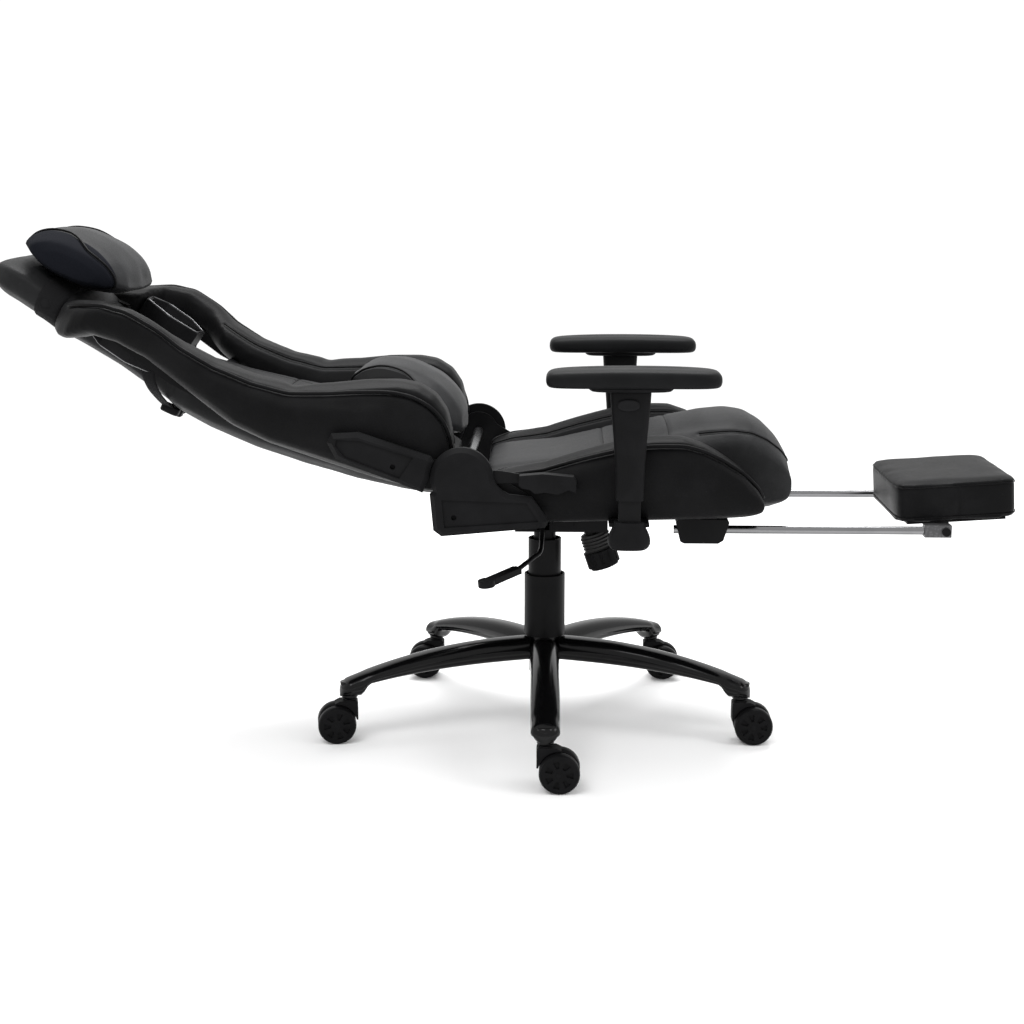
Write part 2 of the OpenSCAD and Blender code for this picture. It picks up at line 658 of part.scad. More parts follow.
base_hub();
base_leg(1);  // base_leg_1
base_leg(2);  // base_leg_2
base_leg(3);  // base_leg_3
base_leg(4);  // base_leg_4
base_leg(5);  // base_leg_5
castor_yoke(1);  // castor_yoke_1
castor_yoke(2);  // castor_yoke_2
castor_yoke(3);  // castor_yoke_3
castor_yoke(4);  // castor_yoke_4
castor_yoke(5);  // castor_yoke_5
castor_wheels(1);  // castor_wheels_1
castor_wheels(2);  // castor_wheels_2
castor_wheels(3);  // castor_wheels_3
castor_wheels(4);  // castor_wheels_4
castor_wheels(5);  // castor_wheels_5
stand_tube();
lower_sleeve();
piston_rod();
gas_cylinder();
upper_sleeve();
tilt_housing();
valve_pin();
tilt_lock_slider();
height_lever_rod();
height_lever_grip();
tension_knob();
tension_spring();
spring_boot();
tilt_pivot_pin();
tilt_plate();
seat_frame();
seat_pad();
seat_bolster_left();
seat_bolster_right();
recliner_covers();
recliner_rod();
recline_lever();
recline_grip();
back_frame();
hinge_arm_covers();
back_pad();
back_bolster_left();
back_bolster_right();
belt_bezels();
lumbar_pillow();
head_pillow();
arm_brackets();
arm_foot_caps();
arm_sleeve_left();
arm_sleeve_right();
arm_button_left();
arm_button_right();
arm_pad_left();
arm_pad_right();
footrest_brackets();
footrest_rods();
footrest_clamps();
footrest_hinge();
footrest_pad();
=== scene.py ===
"""Reclining gaming chair with a slide-out footrest: upholstery, mouldings, metalwork and stage.

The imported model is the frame. Hard pieces are edge-rounded copies of its nodes or surfaces worked
out from its boxes; cushions start as copies of its soft solids and are then padded and sewn.
"""

import json

import bmesh
import bpy
import numpy as np
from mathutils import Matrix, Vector, kdtree
from mathutils.bvhtree import BVHTree


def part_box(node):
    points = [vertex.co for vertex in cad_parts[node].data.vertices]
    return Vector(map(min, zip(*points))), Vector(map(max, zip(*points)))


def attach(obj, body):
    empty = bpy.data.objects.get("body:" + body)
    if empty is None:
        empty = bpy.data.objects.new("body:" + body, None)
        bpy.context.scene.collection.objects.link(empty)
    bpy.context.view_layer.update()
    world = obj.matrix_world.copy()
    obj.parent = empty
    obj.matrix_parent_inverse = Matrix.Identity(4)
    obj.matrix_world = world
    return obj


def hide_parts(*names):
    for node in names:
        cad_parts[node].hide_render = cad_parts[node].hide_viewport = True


bl_info = {
    "name": "Gaming Chair",
    "version": (1, 0, 0),
    "blender": (4, 5, 0),
    "location": "View3D > Sidebar > Chair",
    "description": "Builds the looks of a reclining gaming chair around its packed frame",
    "category": "Add Mesh",
}

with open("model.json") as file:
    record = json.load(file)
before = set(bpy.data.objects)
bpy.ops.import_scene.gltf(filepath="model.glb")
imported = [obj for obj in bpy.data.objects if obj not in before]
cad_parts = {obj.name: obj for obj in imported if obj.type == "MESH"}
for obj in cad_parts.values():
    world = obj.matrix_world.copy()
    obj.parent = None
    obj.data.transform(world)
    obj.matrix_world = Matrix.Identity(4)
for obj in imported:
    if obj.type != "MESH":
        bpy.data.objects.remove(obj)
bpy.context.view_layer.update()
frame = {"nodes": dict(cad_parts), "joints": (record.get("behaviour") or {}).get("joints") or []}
JOINTS = {joint["name"]: joint for joint in frame["joints"]}

MM = 0.001
REST_LEAN = np.radians(65)
RECLINE_AXIS = np.array(JOINTS["recline"]["pos_m"])
FOOT_AXIS = np.array(JOINTS["footrest_flip"]["pos_m"])
FOOT_TILT = np.radians(3.7)


# ---- Sizes and colours that a user would change ---------------------------------------------


class ChairSizes(bpy.types.PropertyGroup):
    """Sizes of the details that the frame doesn't hold."""

    piping_radius: bpy.props.FloatProperty(
        name="Piping radius", description="Radius of the piped cord along the cushion edges",
        default=2.6 * MM, min=1 * MM, max=5 * MM, unit="LENGTH")
    seam_width: bpy.props.FloatProperty(
        name="Seam width", description="Half width of the valley that a seam pulls into a cushion",
        default=6 * MM, min=2 * MM, max=20 * MM, unit="LENGTH")
    seam_depth: bpy.props.FloatProperty(
        name="Seam depth", description="Depth of that valley",
        default=4 * MM, min=0, max=10 * MM, unit="LENGTH")
    voxel: bpy.props.FloatProperty(
        name="Cushion voxel", description="Mesh size of a cushion before it is padded",
        default=5 * MM, min=3 * MM, max=10 * MM, unit="LENGTH")
    strap_width: bpy.props.FloatProperty(
        name="Strap width", description="Width of the head pillow's elastic strap",
        default=38 * MM, min=20 * MM, max=50 * MM, unit="LENGTH")


class ChairColours(bpy.types.PropertyGroup):
    """Base colours of the finishes. The seat and pillow leathers are paler copies of the side
    leather: partly their own tone, partly painted light on the faces the lamps reach.
    """

    # Over three times the side leather's colour: partly painted light on the lit seat top and back
    # front.
    seat_leather: bpy.props.FloatVectorProperty(
        name="Seat leather", description="Centre panels of the seat and the back",
        default=(0.0150, 0.0152, 0.0158), subtype="COLOR", min=0, max=1)
    side_leather: bpy.props.FloatVectorProperty(
        name="Side leather", description="Bolsters and footrest",
        default=(0.0045, 0.0045, 0.0048), subtype="COLOR", min=0, max=1)
    # Over four times the side leather's colour: partly painted light on the lit pillow fronts.
    pillow_leather: bpy.props.FloatVectorProperty(
        name="Pillow leather", description="Middle panels of the pillows",
        default=(0.0200, 0.0203, 0.0212), subtype="COLOR", min=0, max=1)
    plastic: bpy.props.FloatVectorProperty(
        name="Plastic", description="Grained black mouldings",
        default=(0.0060, 0.0060, 0.0064), subtype="COLOR", min=0, max=1)
    paint: bpy.props.FloatVectorProperty(
        name="Gloss paint", description="Painted base",
        default=(0.0018, 0.0018, 0.0020), subtype="COLOR", min=0, max=1)


# ---- Shader maths ----------------------------------------------------------------------------


class Wire:
    """A socket that can be used in arithmetic: each operation on it adds a Math node."""

    def __init__(self, shader, socket):
        self.shader = shader
        self.socket = socket

    def math(self, operation, first, second):
        return self.shader.node("ShaderNodeMath", {"operation": operation}, {0: first, 1: second})

    def __add__(self, other):
        return self.math("ADD", self, other)

    def __radd__(self, other):
        return self.math("ADD", other, self)

    def __sub__(self, other):
        return self.math("SUBTRACT", self, other)

    def __rsub__(self, other):
        return self.math("SUBTRACT", other, self)

    def __mul__(self, other):
        return self.math("MULTIPLY", self, other)

    def __rmul__(self, other):
        return self.math("MULTIPLY", other, self)

    def between(self, low, high):
        """0 below low, 1 above high and smooth between them."""
        return self.shader.node("ShaderNodeMapRange", {"interpolation_type": "SMOOTHSTEP"},
                                {"Value": self, "From Min": low, "From Max": high})


class Shader:
    """A material and its node tree, with one Principled shader at the end."""

    def __init__(self, name):
        self.material = bpy.data.materials.new(name)
        self.material.use_nodes = True
        self.tree = self.material.node_tree
        self.surface = self.tree.nodes["Principled BSDF"]
        self.place = self.node("ShaderNodeTexCoord", out="Object")

    def node(self, kind, settings=None, values=None, out=0):
        made = self.tree.nodes.new(kind)
        for key, value in (settings or {}).items():
            setattr(made, key, value)
        for key, value in (values or {}).items():
            if isinstance(value, Wire):
                self.tree.links.new(value.socket, made.inputs[key])
            else:
                made.inputs[key].default_value = value
        return Wire(self, made.outputs[out])

    def noise(self, scale, detail=3.0, roughness=0.55, place=None):
        return self.node("ShaderNodeTexNoise", None,
                         {"Vector": place or self.place, "Scale": scale, "Detail": detail,
                          "Roughness": roughness})

    def cells(self, scale, feature="F1"):
        return self.node("ShaderNodeTexVoronoi", {"feature": feature},
                         {"Vector": self.place, "Scale": scale}, out="Distance")

    def waves(self, scale, direction):
        return self.node("ShaderNodeTexWave", {"bands_direction": direction},
                         {"Vector": self.place, "Scale": scale}, out=1)

    def blend(self, mask, first, second):
        """Colour that goes from first to second as mask goes from 0 to 1."""
        return self.node("ShaderNodeMix", {"data_type": "RGBA"},
                         {"Factor": mask, 6: first, 7: second}, out=2)

    def bump(self, height, distance, strength, under=None):
        values = {"Height": height, "Distance": distance, "Strength": strength}
        if under is not None:
            values["Normal"] = under
        return self.node("ShaderNodeBump", None, values)

    def finish(self, **sockets):
        for key, value in sockets.items():
            name = key.replace("_", " ")
            if isinstance(value, Wire):
                self.tree.links.new(value.socket, self.surface.inputs[name])
            else:
                self.surface.inputs[name].default_value = value
        return self.material


def shade(colour, factor):
    return tuple(min(1.0, channel * factor) for channel in colour[:3]) + (1.0,)


# ---- Materials -------------------------------------------------------------------------------


def leather(name, colour, rough=0.42, pebble=520.0, crease=0.5):
    """Coated leather: pebbled grain, soft creases and slightly worn, paler patches."""
    shader = Shader(name)
    cloud = shader.noise(14.0, 4.0)
    fine = shader.noise(160.0, 3.0)
    grain = shader.cells(pebble, "SMOOTH_F1")
    folds = shader.noise(34.0, 5.0, 0.6)
    tone = shader.blend(cloud.between(0.35, 0.7), shade(colour, 0.78), shade(colour, 1.3))
    tone = shader.blend(fine.between(0.62, 0.8) * 0.35, tone, shade(colour, 1.9))
    normal = shader.bump(folds, 1.6 * MM, 0.35 * crease)
    normal = shader.bump(grain * -1.0 + 1.0, 0.35 * MM, 0.55, normal)
    roughness = rough + (cloud - 0.5) * 0.16 + grain * 0.12
    return shader.finish(Base_Color=tone, Roughness=roughness, Normal=normal,
                         Specular_IOR_Level=0.05)


def grained_plastic(name, colour, rough=0.5, scale=900.0):
    """Spark-eroded moulding: fine even grain with faint cloudy gloss."""
    shader = Shader(name)
    grain = shader.noise(scale, 2.0, 0.7)
    cloud = shader.noise(22.0, 3.0)
    tone = shader.blend(cloud.between(0.3, 0.7), shade(colour, 0.85), shade(colour, 1.2))
    return shader.finish(Base_Color=tone, Roughness=rough + (cloud - 0.5) * 0.12 + grain * 0.08,
                         Normal=shader.bump(grain, 0.12 * MM, 0.6), Specular_IOR_Level=0.05)


def gloss_paint(name, colour):
    """Powder paint under a clear gloss, with slight orange peel and fine dust."""
    shader = Shader(name)
    peel = shader.noise(140.0, 2.0)
    dust = shader.noise(900.0, 2.0).between(0.66, 0.8)
    tone = shader.blend(dust * 0.25, shade(colour, 1.0), shade(colour, 3.0))
    return shader.finish(Base_Color=tone, Roughness=0.16 + peel * 0.08,
                         Normal=shader.bump(peel, 0.15 * MM, 0.35), Coat_Weight=0.1,
                         Coat_Roughness=0.06, Specular_IOR_Level=0.12)


def satin_paint(name, colour):
    """Satin black paint on steel with a fine texture."""
    shader = Shader(name)
    texture = shader.noise(500.0, 3.0, 0.6)
    cloud = shader.noise(18.0, 2.0)
    tone = shader.blend(cloud.between(0.3, 0.7), shade(colour, 0.85), shade(colour, 1.25))
    return shader.finish(Base_Color=tone, Roughness=0.36 + texture * 0.1,
                         Normal=shader.bump(texture, 0.1 * MM, 0.5), Specular_IOR_Level=0.06)


def drawn_steel(name, colour, rough, lines=900.0):
    """Bright steel with faint lines from drawing and a few dull smears."""
    shader = Shader(name)
    stretched = shader.node("ShaderNodeVectorMath", {"operation": "MULTIPLY"},
                            {0: shader.place, 1: (0.03, 1, 1)})
    lines_mask = shader.noise(lines, 2.0, 0.5, stretched)
    smear = shader.noise(26.0, 3.0).between(0.45, 0.75)
    tone = shader.blend(smear * 0.5, shade(colour, 1.0), shade(colour, 0.8))
    return shader.finish(Base_Color=tone, Metallic=1.0,
                         Roughness=rough + smear * 0.08 + lines_mask * 0.06,
                         Normal=shader.bump(lines_mask, 0.05 * MM, 0.4))


def cast_zinc(name, colour):
    """Dull zinc plating over a cast surface."""
    shader = Shader(name)
    pits = shader.noise(420.0, 4.0, 0.65)
    bloom = shader.cells(240.0)
    tone = shader.blend(bloom.between(0.1, 0.6), shade(colour, 1.1), shade(colour, 0.75))
    return shader.finish(Base_Color=tone, Metallic=1.0, Roughness=0.34 + pits * 0.16,
                         Normal=shader.bump(pits, 0.15 * MM, 0.6))


def rubber(name, colour):
    """Dull rubber with a powdery bloom."""
    shader = Shader(name)
    bloom = shader.noise(60.0, 4.0)
    tone = shader.blend(bloom.between(0.45, 0.7), shade(colour, 1.0), shade(colour, 1.6))
    return shader.finish(Base_Color=tone, Roughness=0.62 + bloom * 0.14,
                         Normal=shader.bump(shader.noise(700.0), 0.1 * MM, 0.5))


def skinned_foam(name, colour):
    """Self-skinned foam of the arm pads: fine leather-like print, softly shining."""
    shader = Shader(name)
    print_cells = shader.cells(760.0)
    cloud = shader.noise(16.0, 3.0)
    tone = shader.blend(cloud.between(0.35, 0.7), shade(colour, 0.85), shade(colour, 1.2))
    return shader.finish(Base_Color=tone, Roughness=0.44 + print_cells * 0.12 + (cloud - 0.5) * 0.1,
                         Normal=shader.bump(print_cells, 0.2 * MM, 0.5), Specular_IOR_Level=0.06)


def webbing(name, colour):
    """Woven elastic: ribs along the band, crossed by a fine weft. The colour follows the rib
    height,
    darker in the low parts: painted shade between the threads.
    """
    shader = Shader(name)
    warp = shader.waves(260.0, "Z")
    weft = shader.waves(420.0, "Y")
    weave_and_shade = warp * 0.6 + weft * 0.4
    # Painted shade: the colour darkens with the weave's height into its low parts.
    tone = shader.blend(weave_and_shade, shade(colour, 0.6), shade(colour, 1.5))
    return shader.finish(Base_Color=tone, Roughness=0.78 + weave_and_shade * 0.1,
                         Normal=shader.bump(weave_and_shade, 0.4 * MM, 0.7), Specular_IOR_Level=0.08)


def two_panel_leather(name, middle, side, half_width, along):
    """Pillow cover: leather in the middle and brushed fabric beyond half_width to each side. The
    width grows forwards by PANEL_SLANT about the place along."""
    shader = Shader(name)
    parts = shader.tree.nodes.new("ShaderNodeSeparateXYZ")
    shader.tree.links.new(shader.place.socket, parts.inputs[0])
    across = Wire(shader, parts.outputs[1])
    distance = across.math("ABSOLUTE", across, 0.0)
    distance = distance - (Wire(shader, parts.outputs[0]) - along) * PANEL_SLANT
    mask = distance.between(half_width - 0.5 * MM, half_width + 0.5 * MM)
    grain = shader.cells(520.0, "SMOOTH_F1")
    weave_and_shade = shader.noise(900.0, 3.0, 0.8)
    cloud = shader.noise(16.0, 4.0)
    skin = shader.blend(cloud.between(0.35, 0.7), shade(middle, 0.8), shade(middle, 1.25))
    # Painted shade: the fabric's colour darkens with the weave's height into its low parts.
    fabric_tone_and_shade = shader.blend(weave_and_shade, shade(side, 0.6), shade(side, 1.5))
    tone = shader.blend(mask, skin, fabric_tone_and_shade)
    height = (1 - mask) * (1 - grain) + mask * weave_and_shade
    roughness = (1 - mask) * (0.4 + grain * 0.12) + mask * 0.85
    return shader.finish(Base_Color=tone, Roughness=roughness,
                         Normal=shader.bump(height, 0.35 * MM, 0.6), Specular_IOR_Level=0.05)


PANEL_SLANT = 0.3
MATERIALS = {}


def make_materials(colours):
    seat = colours.seat_leather
    side = colours.side_leather
    pillow = colours.pillow_leather
    plastic = colours.plastic
    MATERIALS.update({
        # Centre panels and pillows take paler copies of the side leather: partly painted light.
        "seat_leather": leather("seat_leather", seat, 0.40),
        "side_leather": leather("side_leather", side, 0.42),
        "piping": leather("piping", shade(side, 0.9), 0.36, 700.0, 0.2),
        "footrest_leather": leather("footrest_leather", shade(side, 1.1), 0.38),
        "lumbar_cover": two_panel_leather("lumbar_cover", pillow, shade(side, 0.9), 96 * MM,
                                          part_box("lumbar_pillow")[0].x + 0.09),
        "head_cover": two_panel_leather("head_cover", pillow, (0.0050, 0.0056, 0.0080), 84 * MM,
                                        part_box("head_pillow")[0].x + 0.09),
        "black_gloss": gloss_paint("black_gloss", colours.paint),
        "black_satin": satin_paint("black_satin", (0.0045, 0.0045, 0.0048)),
        "bright_steel": drawn_steel("bright_steel", (0.15, 0.15, 0.155), 0.24),
        "chrome": drawn_steel("chrome", (0.20, 0.20, 0.205), 0.12, 1400.0),
        "zinc": cast_zinc("zinc", (0.10, 0.10, 0.103)),
        "black_plastic": grained_plastic("black_plastic", plastic),
        "pale_plastic": grained_plastic("pale_plastic", shade(plastic, 1.7), 0.46),
        # Paler, glossier copy of the black plastic for the chamfered bands: painted highlight.
        "band_highlight_plastic": grained_plastic("band_highlight_plastic", shade(plastic, 3.2), 0.42),
        "castor_tread": grained_plastic("castor_tread", shade(plastic, 0.8), 0.4, 600.0),
        "boot_rubber": rubber("boot_rubber", (0.004, 0.004, 0.004)),
        "arm_foam": skinned_foam("arm_foam", (0.0060, 0.0062, 0.0066)),
        "elastic": webbing("elastic", (0.0070, 0.0070, 0.0075)),
    })


# ---- Mesh tools ------------------------------------------------------------------------------


def add_object(name, mesh, body, slot, stands_for=(), material=None):
    """Links a mesh as a piece of the chair, with its finish, body and the nodes it stands for."""
    made = bpy.data.objects.new(name, mesh)
    bpy.context.scene.collection.objects.link(made)
    mesh.materials.clear()
    mesh.materials.append(MATERIALS[material or slot])
    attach(made, body)
    if stands_for:
        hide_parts(*stands_for)
    return made


def surface_mesh(name, verts, faces):
    mesh = bpy.data.meshes.new(name)
    mesh.from_pydata(np.asarray(verts).tolist(), [], faces)
    mesh.validate()
    mesh.update()
    mesh.shade_smooth()
    return mesh


def grid_mesh(name, grid, close_rings=True, caps=True):
    """Skin over grid[row, column, xyz]; each row is a closed ring, and both end rings get a fan."""
    rows, columns, _ = grid.shape
    index = np.arange(rows * columns).reshape(rows, columns)
    step = np.roll(index, -1, axis=1)
    count = columns if close_rings else columns - 1
    quads = np.stack([index[:-1, :count], step[:-1, :count],
                      step[1:, :count], index[1:, :count]], -1)
    faces = quads.reshape(-1, 4).tolist()
    verts = grid.reshape(-1, 3)
    if caps:
        verts = np.vstack([verts, grid[0].mean(0), grid[-1].mean(0)])
        first = np.stack([step[0], index[0], np.full(columns, rows * columns)], -1)
        last = np.stack([index[-1], step[-1], np.full(columns, rows * columns + 1)], -1)
        faces += first.tolist() + last.tolist()
    return surface_mesh(name, verts, faces)


def outward(mesh):
    """Turns every face of a closed mesh outwards."""
    work = bmesh.new()
    work.from_mesh(mesh)
    bmesh.ops.recalc_face_normals(work, faces=work.faces)
    work.to_mesh(mesh)
    work.free()
    return mesh


def squircle(angle, width, height, power):
    """Rounded rectangle: each axis is its half size times |cos or sin| to the power 2 / power."""
    c, s = np.cos(angle), np.sin(angle)
    return (width * np.sign(c) * np.abs(c) ** (2 / power),
            height * np.sign(s) * np.abs(s) ** (2 / power))


def stack_mesh(name, count, power, half_x, half_y, height, place):
    """Stack of rounded rectangles. The half sizes and heights, in millimetres, give one ring each,
    and place takes the rings' coordinates to points of the frame."""
    angle = np.linspace(0, 2 * np.pi, count, endpoint=False)
    x, y = squircle(angle, half_x[:, None] * MM, half_y[:, None] * MM, power)
    z = np.repeat(height[:, None] * MM, count, 1)
    return outward(grid_mesh(name, place(x, y, z)))


def ramp(value, low, high, eased=False):
    """0 at low, 1 at high and straight between them, or eased as 3 x squared less 2 x cubed."""
    x = np.clip((value - low) / (high - low), 0, 1)
    return x ** 2 * (3 - 2 * x) if eased else x


def spline(points, count):
    """Catmull-Rom curve through the points: a cubic between each pair, smooth at each point."""
    p = np.asarray(points, float)
    padded = np.vstack([2 * p[0] - p[1], p, 2 * p[-1] - p[-2]])
    s = np.linspace(0, len(p) - 1, count)
    i = np.minimum(s.astype(int), len(p) - 2)
    t = (s - i)[:, None]
    a, b, c, d = padded[i], padded[i + 1], padded[i + 2], padded[i + 3]
    return 0.5 * (2 * b + (c - a) * t + (2 * a - 5 * b + 4 * c - d) * t ** 2
                  + (3 * b - a - 3 * c + d) * t ** 3)


def tube_grid(path, radius, sides, normals=None):
    """Circle carried along a path, in the plane of the normal and the binormal."""
    path = np.asarray(path, float)
    tangent = np.gradient(path, axis=0)
    tangent /= np.linalg.norm(tangent, axis=1)[:, None]
    if normals is None:
        normals = np.tile([0.31, 0.17, 0.93], (len(path), 1))
    across = np.cross(tangent, normals)
    across /= np.linalg.norm(across, axis=1)[:, None]
    up = np.cross(across, tangent)
    angle = np.linspace(0, 2 * np.pi, sides, endpoint=False)
    ring = (np.cos(angle)[None, :, None] * across[:, None]
            + np.sin(angle)[None, :, None] * up[:, None])
    return path[:, None] + radius * ring


def merged_copy(node, name):
    """Copy of a CAD node's mesh with its loose triangles joined and its flat faces made whole."""
    mesh = frame["nodes"][node].data.copy()
    mesh.name = name
    work = bmesh.new()
    work.from_mesh(mesh)
    bmesh.ops.remove_doubles(work, verts=work.verts, dist=0.002 * MM)
    bmesh.ops.dissolve_limit(work, angle_limit=np.radians(0.5), verts=work.verts, edges=work.edges)
    work.to_mesh(mesh)
    work.free()
    if "custom_normal" in mesh.attributes:
        mesh.attributes.remove(mesh.attributes["custom_normal"])
    return mesh


def rounded(node, body, slot, width, material=None, segments=2, chamfer=None):
    """Edge-rounded copy of a CAD node, which it stands for."""
    mesh = merged_copy(node, node + "_part")
    if chamfer:
        chamfer_outline(mesh, *chamfer)
    mesh.shade_smooth()
    made = add_object(node + "_part", mesh, body, slot, (node,), material)
    # A chamfered moulding's second slot is the paler band plastic: painted highlight on its sloping
    # band.
    if chamfer:
        mesh.materials.append(MATERIALS["band_highlight_plastic"])
    bevel = made.modifiers.new("edges", "BEVEL")
    bevel.width = width * MM
    bevel.segments = segments
    bevel.limit_method = "ANGLE"
    bevel.angle_limit = np.radians(28)
    bevel.use_clamp_overlap = True
    bevel.harden_normals = False
    weighted = made.modifiers.new("shading", "WEIGHTED_NORMAL")
    weighted.keep_sharp = False
    weighted.weight = 80
    return made


def chamfer_outline(mesh, width, wall):
    """Cuts a sloping band round a moulding's outer face: its edges next to a side wall at least
    as deep as wall are bevelled by width. The band's faces take the second material slot, a paler
    copy of the plastic: a painted highlight on the slope."""
    work = bmesh.new()
    work.from_mesh(mesh)
    work.normal_update()
    edges = []
    for edge in work.edges:
        if len(edge.link_faces) != 2:
            continue
        flat, side = sorted(edge.link_faces, key=lambda face: -abs(face.normal.y))
        depth = [v.co.y for v in side.verts]
        outward_face = flat.normal.y * flat.calc_center_median().y > 0
        if abs(flat.normal.y) > 0.99 and abs(side.normal.y) < 0.1 and outward_face \
                and max(depth) - min(depth) > wall:
            edges.append(edge)
    cut = bmesh.ops.bevel(work, geom=edges, offset=width, segments=1, affect="EDGES", profile=0.5,
                          clamp_overlap=False)
    # Painted highlight: the band's faces take the second slot, the paler plastic.
    for face in cut["faces"]:
        face.material_index = 1
    work.to_mesh(mesh)
    work.free()


def evaluated_points(made):
    graph = bpy.context.evaluated_depsgraph_get()
    mesh = made.evaluated_get(graph).data
    points = np.empty(len(mesh.vertices) * 3)
    mesh.vertices.foreach_get("co", points)
    return points.reshape(-1, 3)


def bake_modifiers(made):
    """Replaces a piece's mesh with its evaluated one and clears its modifiers."""
    graph = bpy.context.evaluated_depsgraph_get()
    mesh = bpy.data.meshes.new_from_object(made.evaluated_get(graph))
    made.modifiers.clear()
    made.data = mesh


def mesh_points(mesh):
    points = np.empty(len(mesh.vertices) * 3)
    mesh.vertices.foreach_get("co", points)
    return points.reshape(-1, 3)


def mesh_normals(mesh):
    normals = np.empty(len(mesh.vertices) * 3)
    mesh.vertices.foreach_get("normal", normals)
    return normals.reshape(-1, 3)


def set_points(mesh, points):
    mesh.vertices.foreach_set("co", np.ascontiguousarray(points, float).ravel())
    mesh.update()


# ---- Upholstery ------------------------------------------------------------------------------


CLOTH = {"use_pressure": True, "uniform_pressure_force": 4.0, "quality": 4, "mass": 0.3,
         "tension_stiffness": 12, "compression_stiffness": 12, "shear_stiffness": 5,
         "bending_stiffness": 0.4}
CLOTH_FRAMES = 20
CORD_SIDES = 8


def cushion(node, name, body, slot, voxel, cap, shrink, smooth=6, material=None,
            shape=None):
    """Padded piece from a soft CAD solid: remeshed, smoothed, shrunk, then blown up as cloth."""
    mesh = merged_copy(node, name)
    made = add_object(name, mesh, body, slot, (node,), material)
    remesh = made.modifiers.new("remesh", "REMESH")
    remesh.mode = "VOXEL"
    remesh.voxel_size = voxel
    soften = made.modifiers.new("soften", "SMOOTH")
    soften.factor = 0.5
    soften.iterations = smooth
    bake_modifiers(made)
    points = mesh_points(made.data) - mesh_normals(made.data) * shrink
    if shape:
        points = shape(points)
    set_points(made.data, points)
    inflate(made, points, cap)
    finer = made.modifiers.new("finer", "SUBSURF")
    finer.levels = 1
    finer.render_levels = 1
    bake_modifiers(made)
    made.data.shade_smooth()
    made.data.materials.clear()
    made.data.materials.append(MATERIALS[material or slot])
    return made


def inflate(made, points, cap):
    """CLOTH_FRAMES frames of cloth under pressure. The swelling is kept along the normals, evened
    out over the mesh and held between a millimetre inwards and cap outwards."""
    cloth = made.modifiers.new("cloth", "CLOTH")
    for key, value in CLOTH.items():
        setattr(cloth.settings, key, value)
    cloth.settings.effector_weights.gravity = 0.0
    cloth.point_cache.frame_start = 1
    cloth.point_cache.frame_end = CLOTH_FRAMES
    for step in range(1, CLOTH_FRAMES + 1):
        bpy.context.scene.frame_set(step)
    moved = evaluated_points(made) - points
    made.modifiers.clear()
    bpy.context.scene.frame_set(1)
    normals = mesh_normals(made.data)
    swell = np.clip((moved * normals).sum(1), -1 * MM, cap)
    swell = evened(made.data, swell, 10)
    set_points(made.data, points + normals * swell[:, None])


def evened(mesh, field, passes):
    """Spreads a value over a mesh: each point takes the mean of itself and its neighbours' mean."""
    ends = np.empty(len(mesh.edges) * 2, int)
    mesh.edges.foreach_get("vertices", ends)
    first, second = ends[0::2], ends[1::2]
    count = len(mesh.vertices)
    near = np.maximum(np.bincount(first, minlength=count) + np.bincount(second, minlength=count), 1)
    for _ in range(passes):
        total = np.bincount(first, field[second], count) + np.bincount(second, field[first], count)
        field = (field + total / near) / 2
    return field


def surface_tree(made):
    work = bmesh.new()
    work.from_mesh(made.data)
    tree = BVHTree.FromBMesh(work)
    work.free()
    return tree


def dropped(tree, starts, direction):
    """Points where rays from starts along direction meet the surface, with the normals there."""
    ray = Vector(direction)
    hits = [tree.ray_cast(Vector(p), ray) for p in starts]
    hits = [h for h in hits if h[0] is not None]
    return np.array([h[0] for h in hits]), np.array([h[1] for h in hits])


def nearest(tree, starts):
    """Points of the surface nearest to starts, with the normals there."""
    hits = [tree.find_nearest(Vector(p)) for p in starts]
    return np.array([h[0] for h in hits]), np.array([h[1] for h in hits])


def sew(made, paths, width, depth):
    """Valleys along paths: each point sinks by depth times exp(-(distance / width) squared)."""
    points = mesh_points(made.data)
    normals = mesh_normals(made.data)
    cloud = np.vstack(paths)
    tree = kdtree.KDTree(len(cloud))
    for i, p in enumerate(cloud):
        tree.insert(p, i)
    tree.balance()
    low, high = cloud.min(0) - 3 * width, cloud.max(0) + 3 * width
    near = np.where(((points > low) & (points < high)).all(1))[0]
    distance = np.array([tree.find(points[i])[2] for i in near])
    sink = depth * np.exp(-(distance / width) ** 2)
    points[near] -= normals[near] * sink[:, None]
    set_points(made.data, points)


def piping(name, path, normals, radius, body, slot="side_leather", lift=0.4):
    """Piped cord along a seam: a circle carried along the path, half sunk between the panels."""
    grid = tube_grid(path + normals * radius * lift, radius, CORD_SIDES, normals)
    return add_object(name, grid_mesh(name, grid), body, slot, (), "piping")


def seam_shade_cord(made, name, path, normals, sizes, body):
    """Dark line of a flat stitched seam: a fine cord that lies on the sewn surface, in the darker
    piping leather: painted shade of the seam crease.
    """
    path, normals = nearest(surface_tree(made), path)
    piping(name, path, normals, sizes.piping_radius * 0.3, body, lift=0.2)


def smooth_path(path, passes=6):
    """Evens a path out: each inner point moves to the mean of itself and its neighbours."""
    path = path.copy()
    for _ in range(passes):
        path[1:-1] = (path[:-2] + 2 * path[1:-1] + path[2:]) / 4
    return path


def laid(points):
    """Takes (forward, sideways, up) points of the upright back to its rest place in the frame."""
    p = np.atleast_2d(np.asarray(points, float))
    c, s = np.cos(REST_LEAN), np.sin(REST_LEAN)
    return np.stack([RECLINE_AXIS[0] + p[:, 0] * c - p[:, 2] * s, p[:, 1],
                     RECLINE_AXIS[2] + p[:, 0] * s + p[:, 2] * c], -1)


def on_back(grid):
    """Takes a whole grid of upright points to the laid-back rest place."""
    return laid(grid.reshape(-1, 3)).reshape(grid.shape)


def laid_direction(direction):
    """Turns a direction of the upright back to its rest one."""
    return laid([direction])[0] - laid([[0, 0, 0]])[0]


# ---- Base, castors and column ------------------------------------------------------------------


